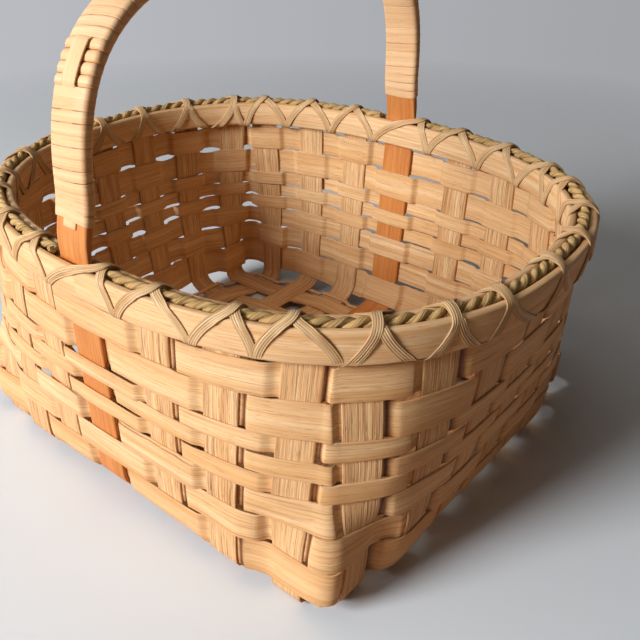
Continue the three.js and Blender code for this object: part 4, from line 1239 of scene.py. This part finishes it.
# The runner's grooves get painted shade in their bottoms through the Edge, as the laces' do.
profile, edge = grooved_section(RUNNER_WIDTH, RUNNER_THICKNESS * RUNNER_WORN_TO, **RUNNER_GROOVES)
across = np.tile(X_AXIS, (len(centre), 1))
runner = sweep(centre + out * rise[:, None], across, out, profile, edge, tone=RUNNER_TONE)
make_piece("handle_runner_cane", [runner], wrap_cane, ["handle_runner"])
print("runner:", len(centre), "stations")

# %% [markdown]
# The basket stands on a pale table. The floor is a disc that fades out at its edge, so that the world behind
# it gives the backdrop. The table looks pale, but it throws a dimmer and warmer light back, or the basket's
# shaded walls would not be as deep a brown as in the photo.

# %% Table
FLOOR_RADIUS, FLOOR_FADES_FROM, FLOOR_GONE_AT = 0.9, 0.5, 0.95
FLOOR_SIDES, FLOOR_Z = 96, -0.0002
TABLE_SEEN, THROWN_BACK = srgb(229, 238, 248), (0.50, 0.29, 0.17, 1)
TABLE_ROUGH, TABLE_GLOSS = 0.6, 0.2
floor_mesh = bpy.data.meshes.new("floor")
angles = np.linspace(0, 2 * math.pi, FLOOR_SIDES, endpoint=False)
rim = [(FLOOR_RADIUS * math.cos(a), FLOOR_RADIUS * math.sin(a), FLOOR_Z) for a in angles]
floor_mesh.from_pydata(rim, [], [list(range(FLOOR_SIDES))])
floor = add_object("floor", floor_mesh)


def seen_directly(tree):
    """1 for what the camera sees, straight or in a gloss, and 0 for light that only falls on the basket."""
    path = tree.nodes.new("ShaderNodeLightPath").outputs
    seen = calculate(tree, "MAXIMUM", path["Is Camera Ray"], path["Is Glossy Ray"])
    return calculate(tree, "MAXIMUM", seen, path["Is Transmission Ray"])


paint, tree, surface = new_material("table")
tree.links.new(blend(tree, seen_directly(tree), THROWN_BACK, TABLE_SEEN), surface.inputs["Base Color"])
surface.inputs["Roughness"].default_value = TABLE_ROUGH
surface.inputs["Specular IOR Level"].default_value = TABLE_GLOSS
position = output(tree, "NewGeometry", "Position")
distance = output(tree, "VectorMath", "Value", operation="LENGTH", inputs={0: position})
fades = between(tree, distance, FLOOR_FADES_FROM, FLOOR_RADIUS * FLOOR_GONE_AT, 1.0, 0.0)
tree.links.new(fades, surface.inputs["Alpha"])
floor_mesh.materials.append(paint)
print("table:", 2 * FLOOR_RADIUS, "m wide")

# %% [markdown]
# The backdrop is a grey wall, darker to the right. Little light comes from there, and it is warm, as in a
# room. Most light comes from a low soft window in front, a little to the left. It leaves the inner wall on
# the left and the outer wall on the right in shade. A faint warm lamp above opens that shade a little.

# %% Room
ROOM_LIGHT, ROOM_COLOUR = 0.04, (1.0, 0.74, 0.52, 1)
WALL_GREYS, GREYS_MEET = (srgb(186, 188, 193), srgb(163, 165, 169)), (-0.3, 0.4)
world = bpy.data.worlds.new("room")
bpy.context.scene.world = world
world.use_nodes = True
tree = world.node_tree
room = tree.nodes["Background"]
seen = seen_directly(tree)
towards = output(tree, "TexCoord", "Generated")
to_right = {0: towards, 1: tuple(level_right)}
sideways = output(tree, "VectorMath", "Value", operation="DOT_PRODUCT", inputs=to_right)
wall_grey = blend(tree, between(tree, sideways, *GREYS_MEET), *WALL_GREYS)
tree.links.new(blend(tree, seen, ROOM_COLOUR, wall_grey), room.inputs["Color"])
tree.links.new(between(tree, seen, 0.0, 1.0, ROOM_LIGHT, 1.0), room.inputs["Strength"])


def add_lamp(name, towards, distance, size, watts, colour):
    data = bpy.data.lights.new(name, "AREA")
    data.shape, data.size = "DISK", size
    data.energy, data.color = watts, colour
    lamp = add_object(name, data)
    place = Vector(towards).normalized() * distance
    lamp.location = place
    lamp.rotation_euler = place.to_track_quat("Z", "Y").to_euler()


add_lamp("window", towards=(-0.30, -0.92, 0.47), distance=1.8, size=0.7, watts=39, colour=(1.0, 0.98, 0.95))
add_lamp("ceiling", towards=(-0.25, -0.32, 0.9), distance=1.5, size=1.4, watts=3.8, colour=(1.0, 0.92, 0.82))
bpy.context.scene.view_settings.view_transform = "Standard"
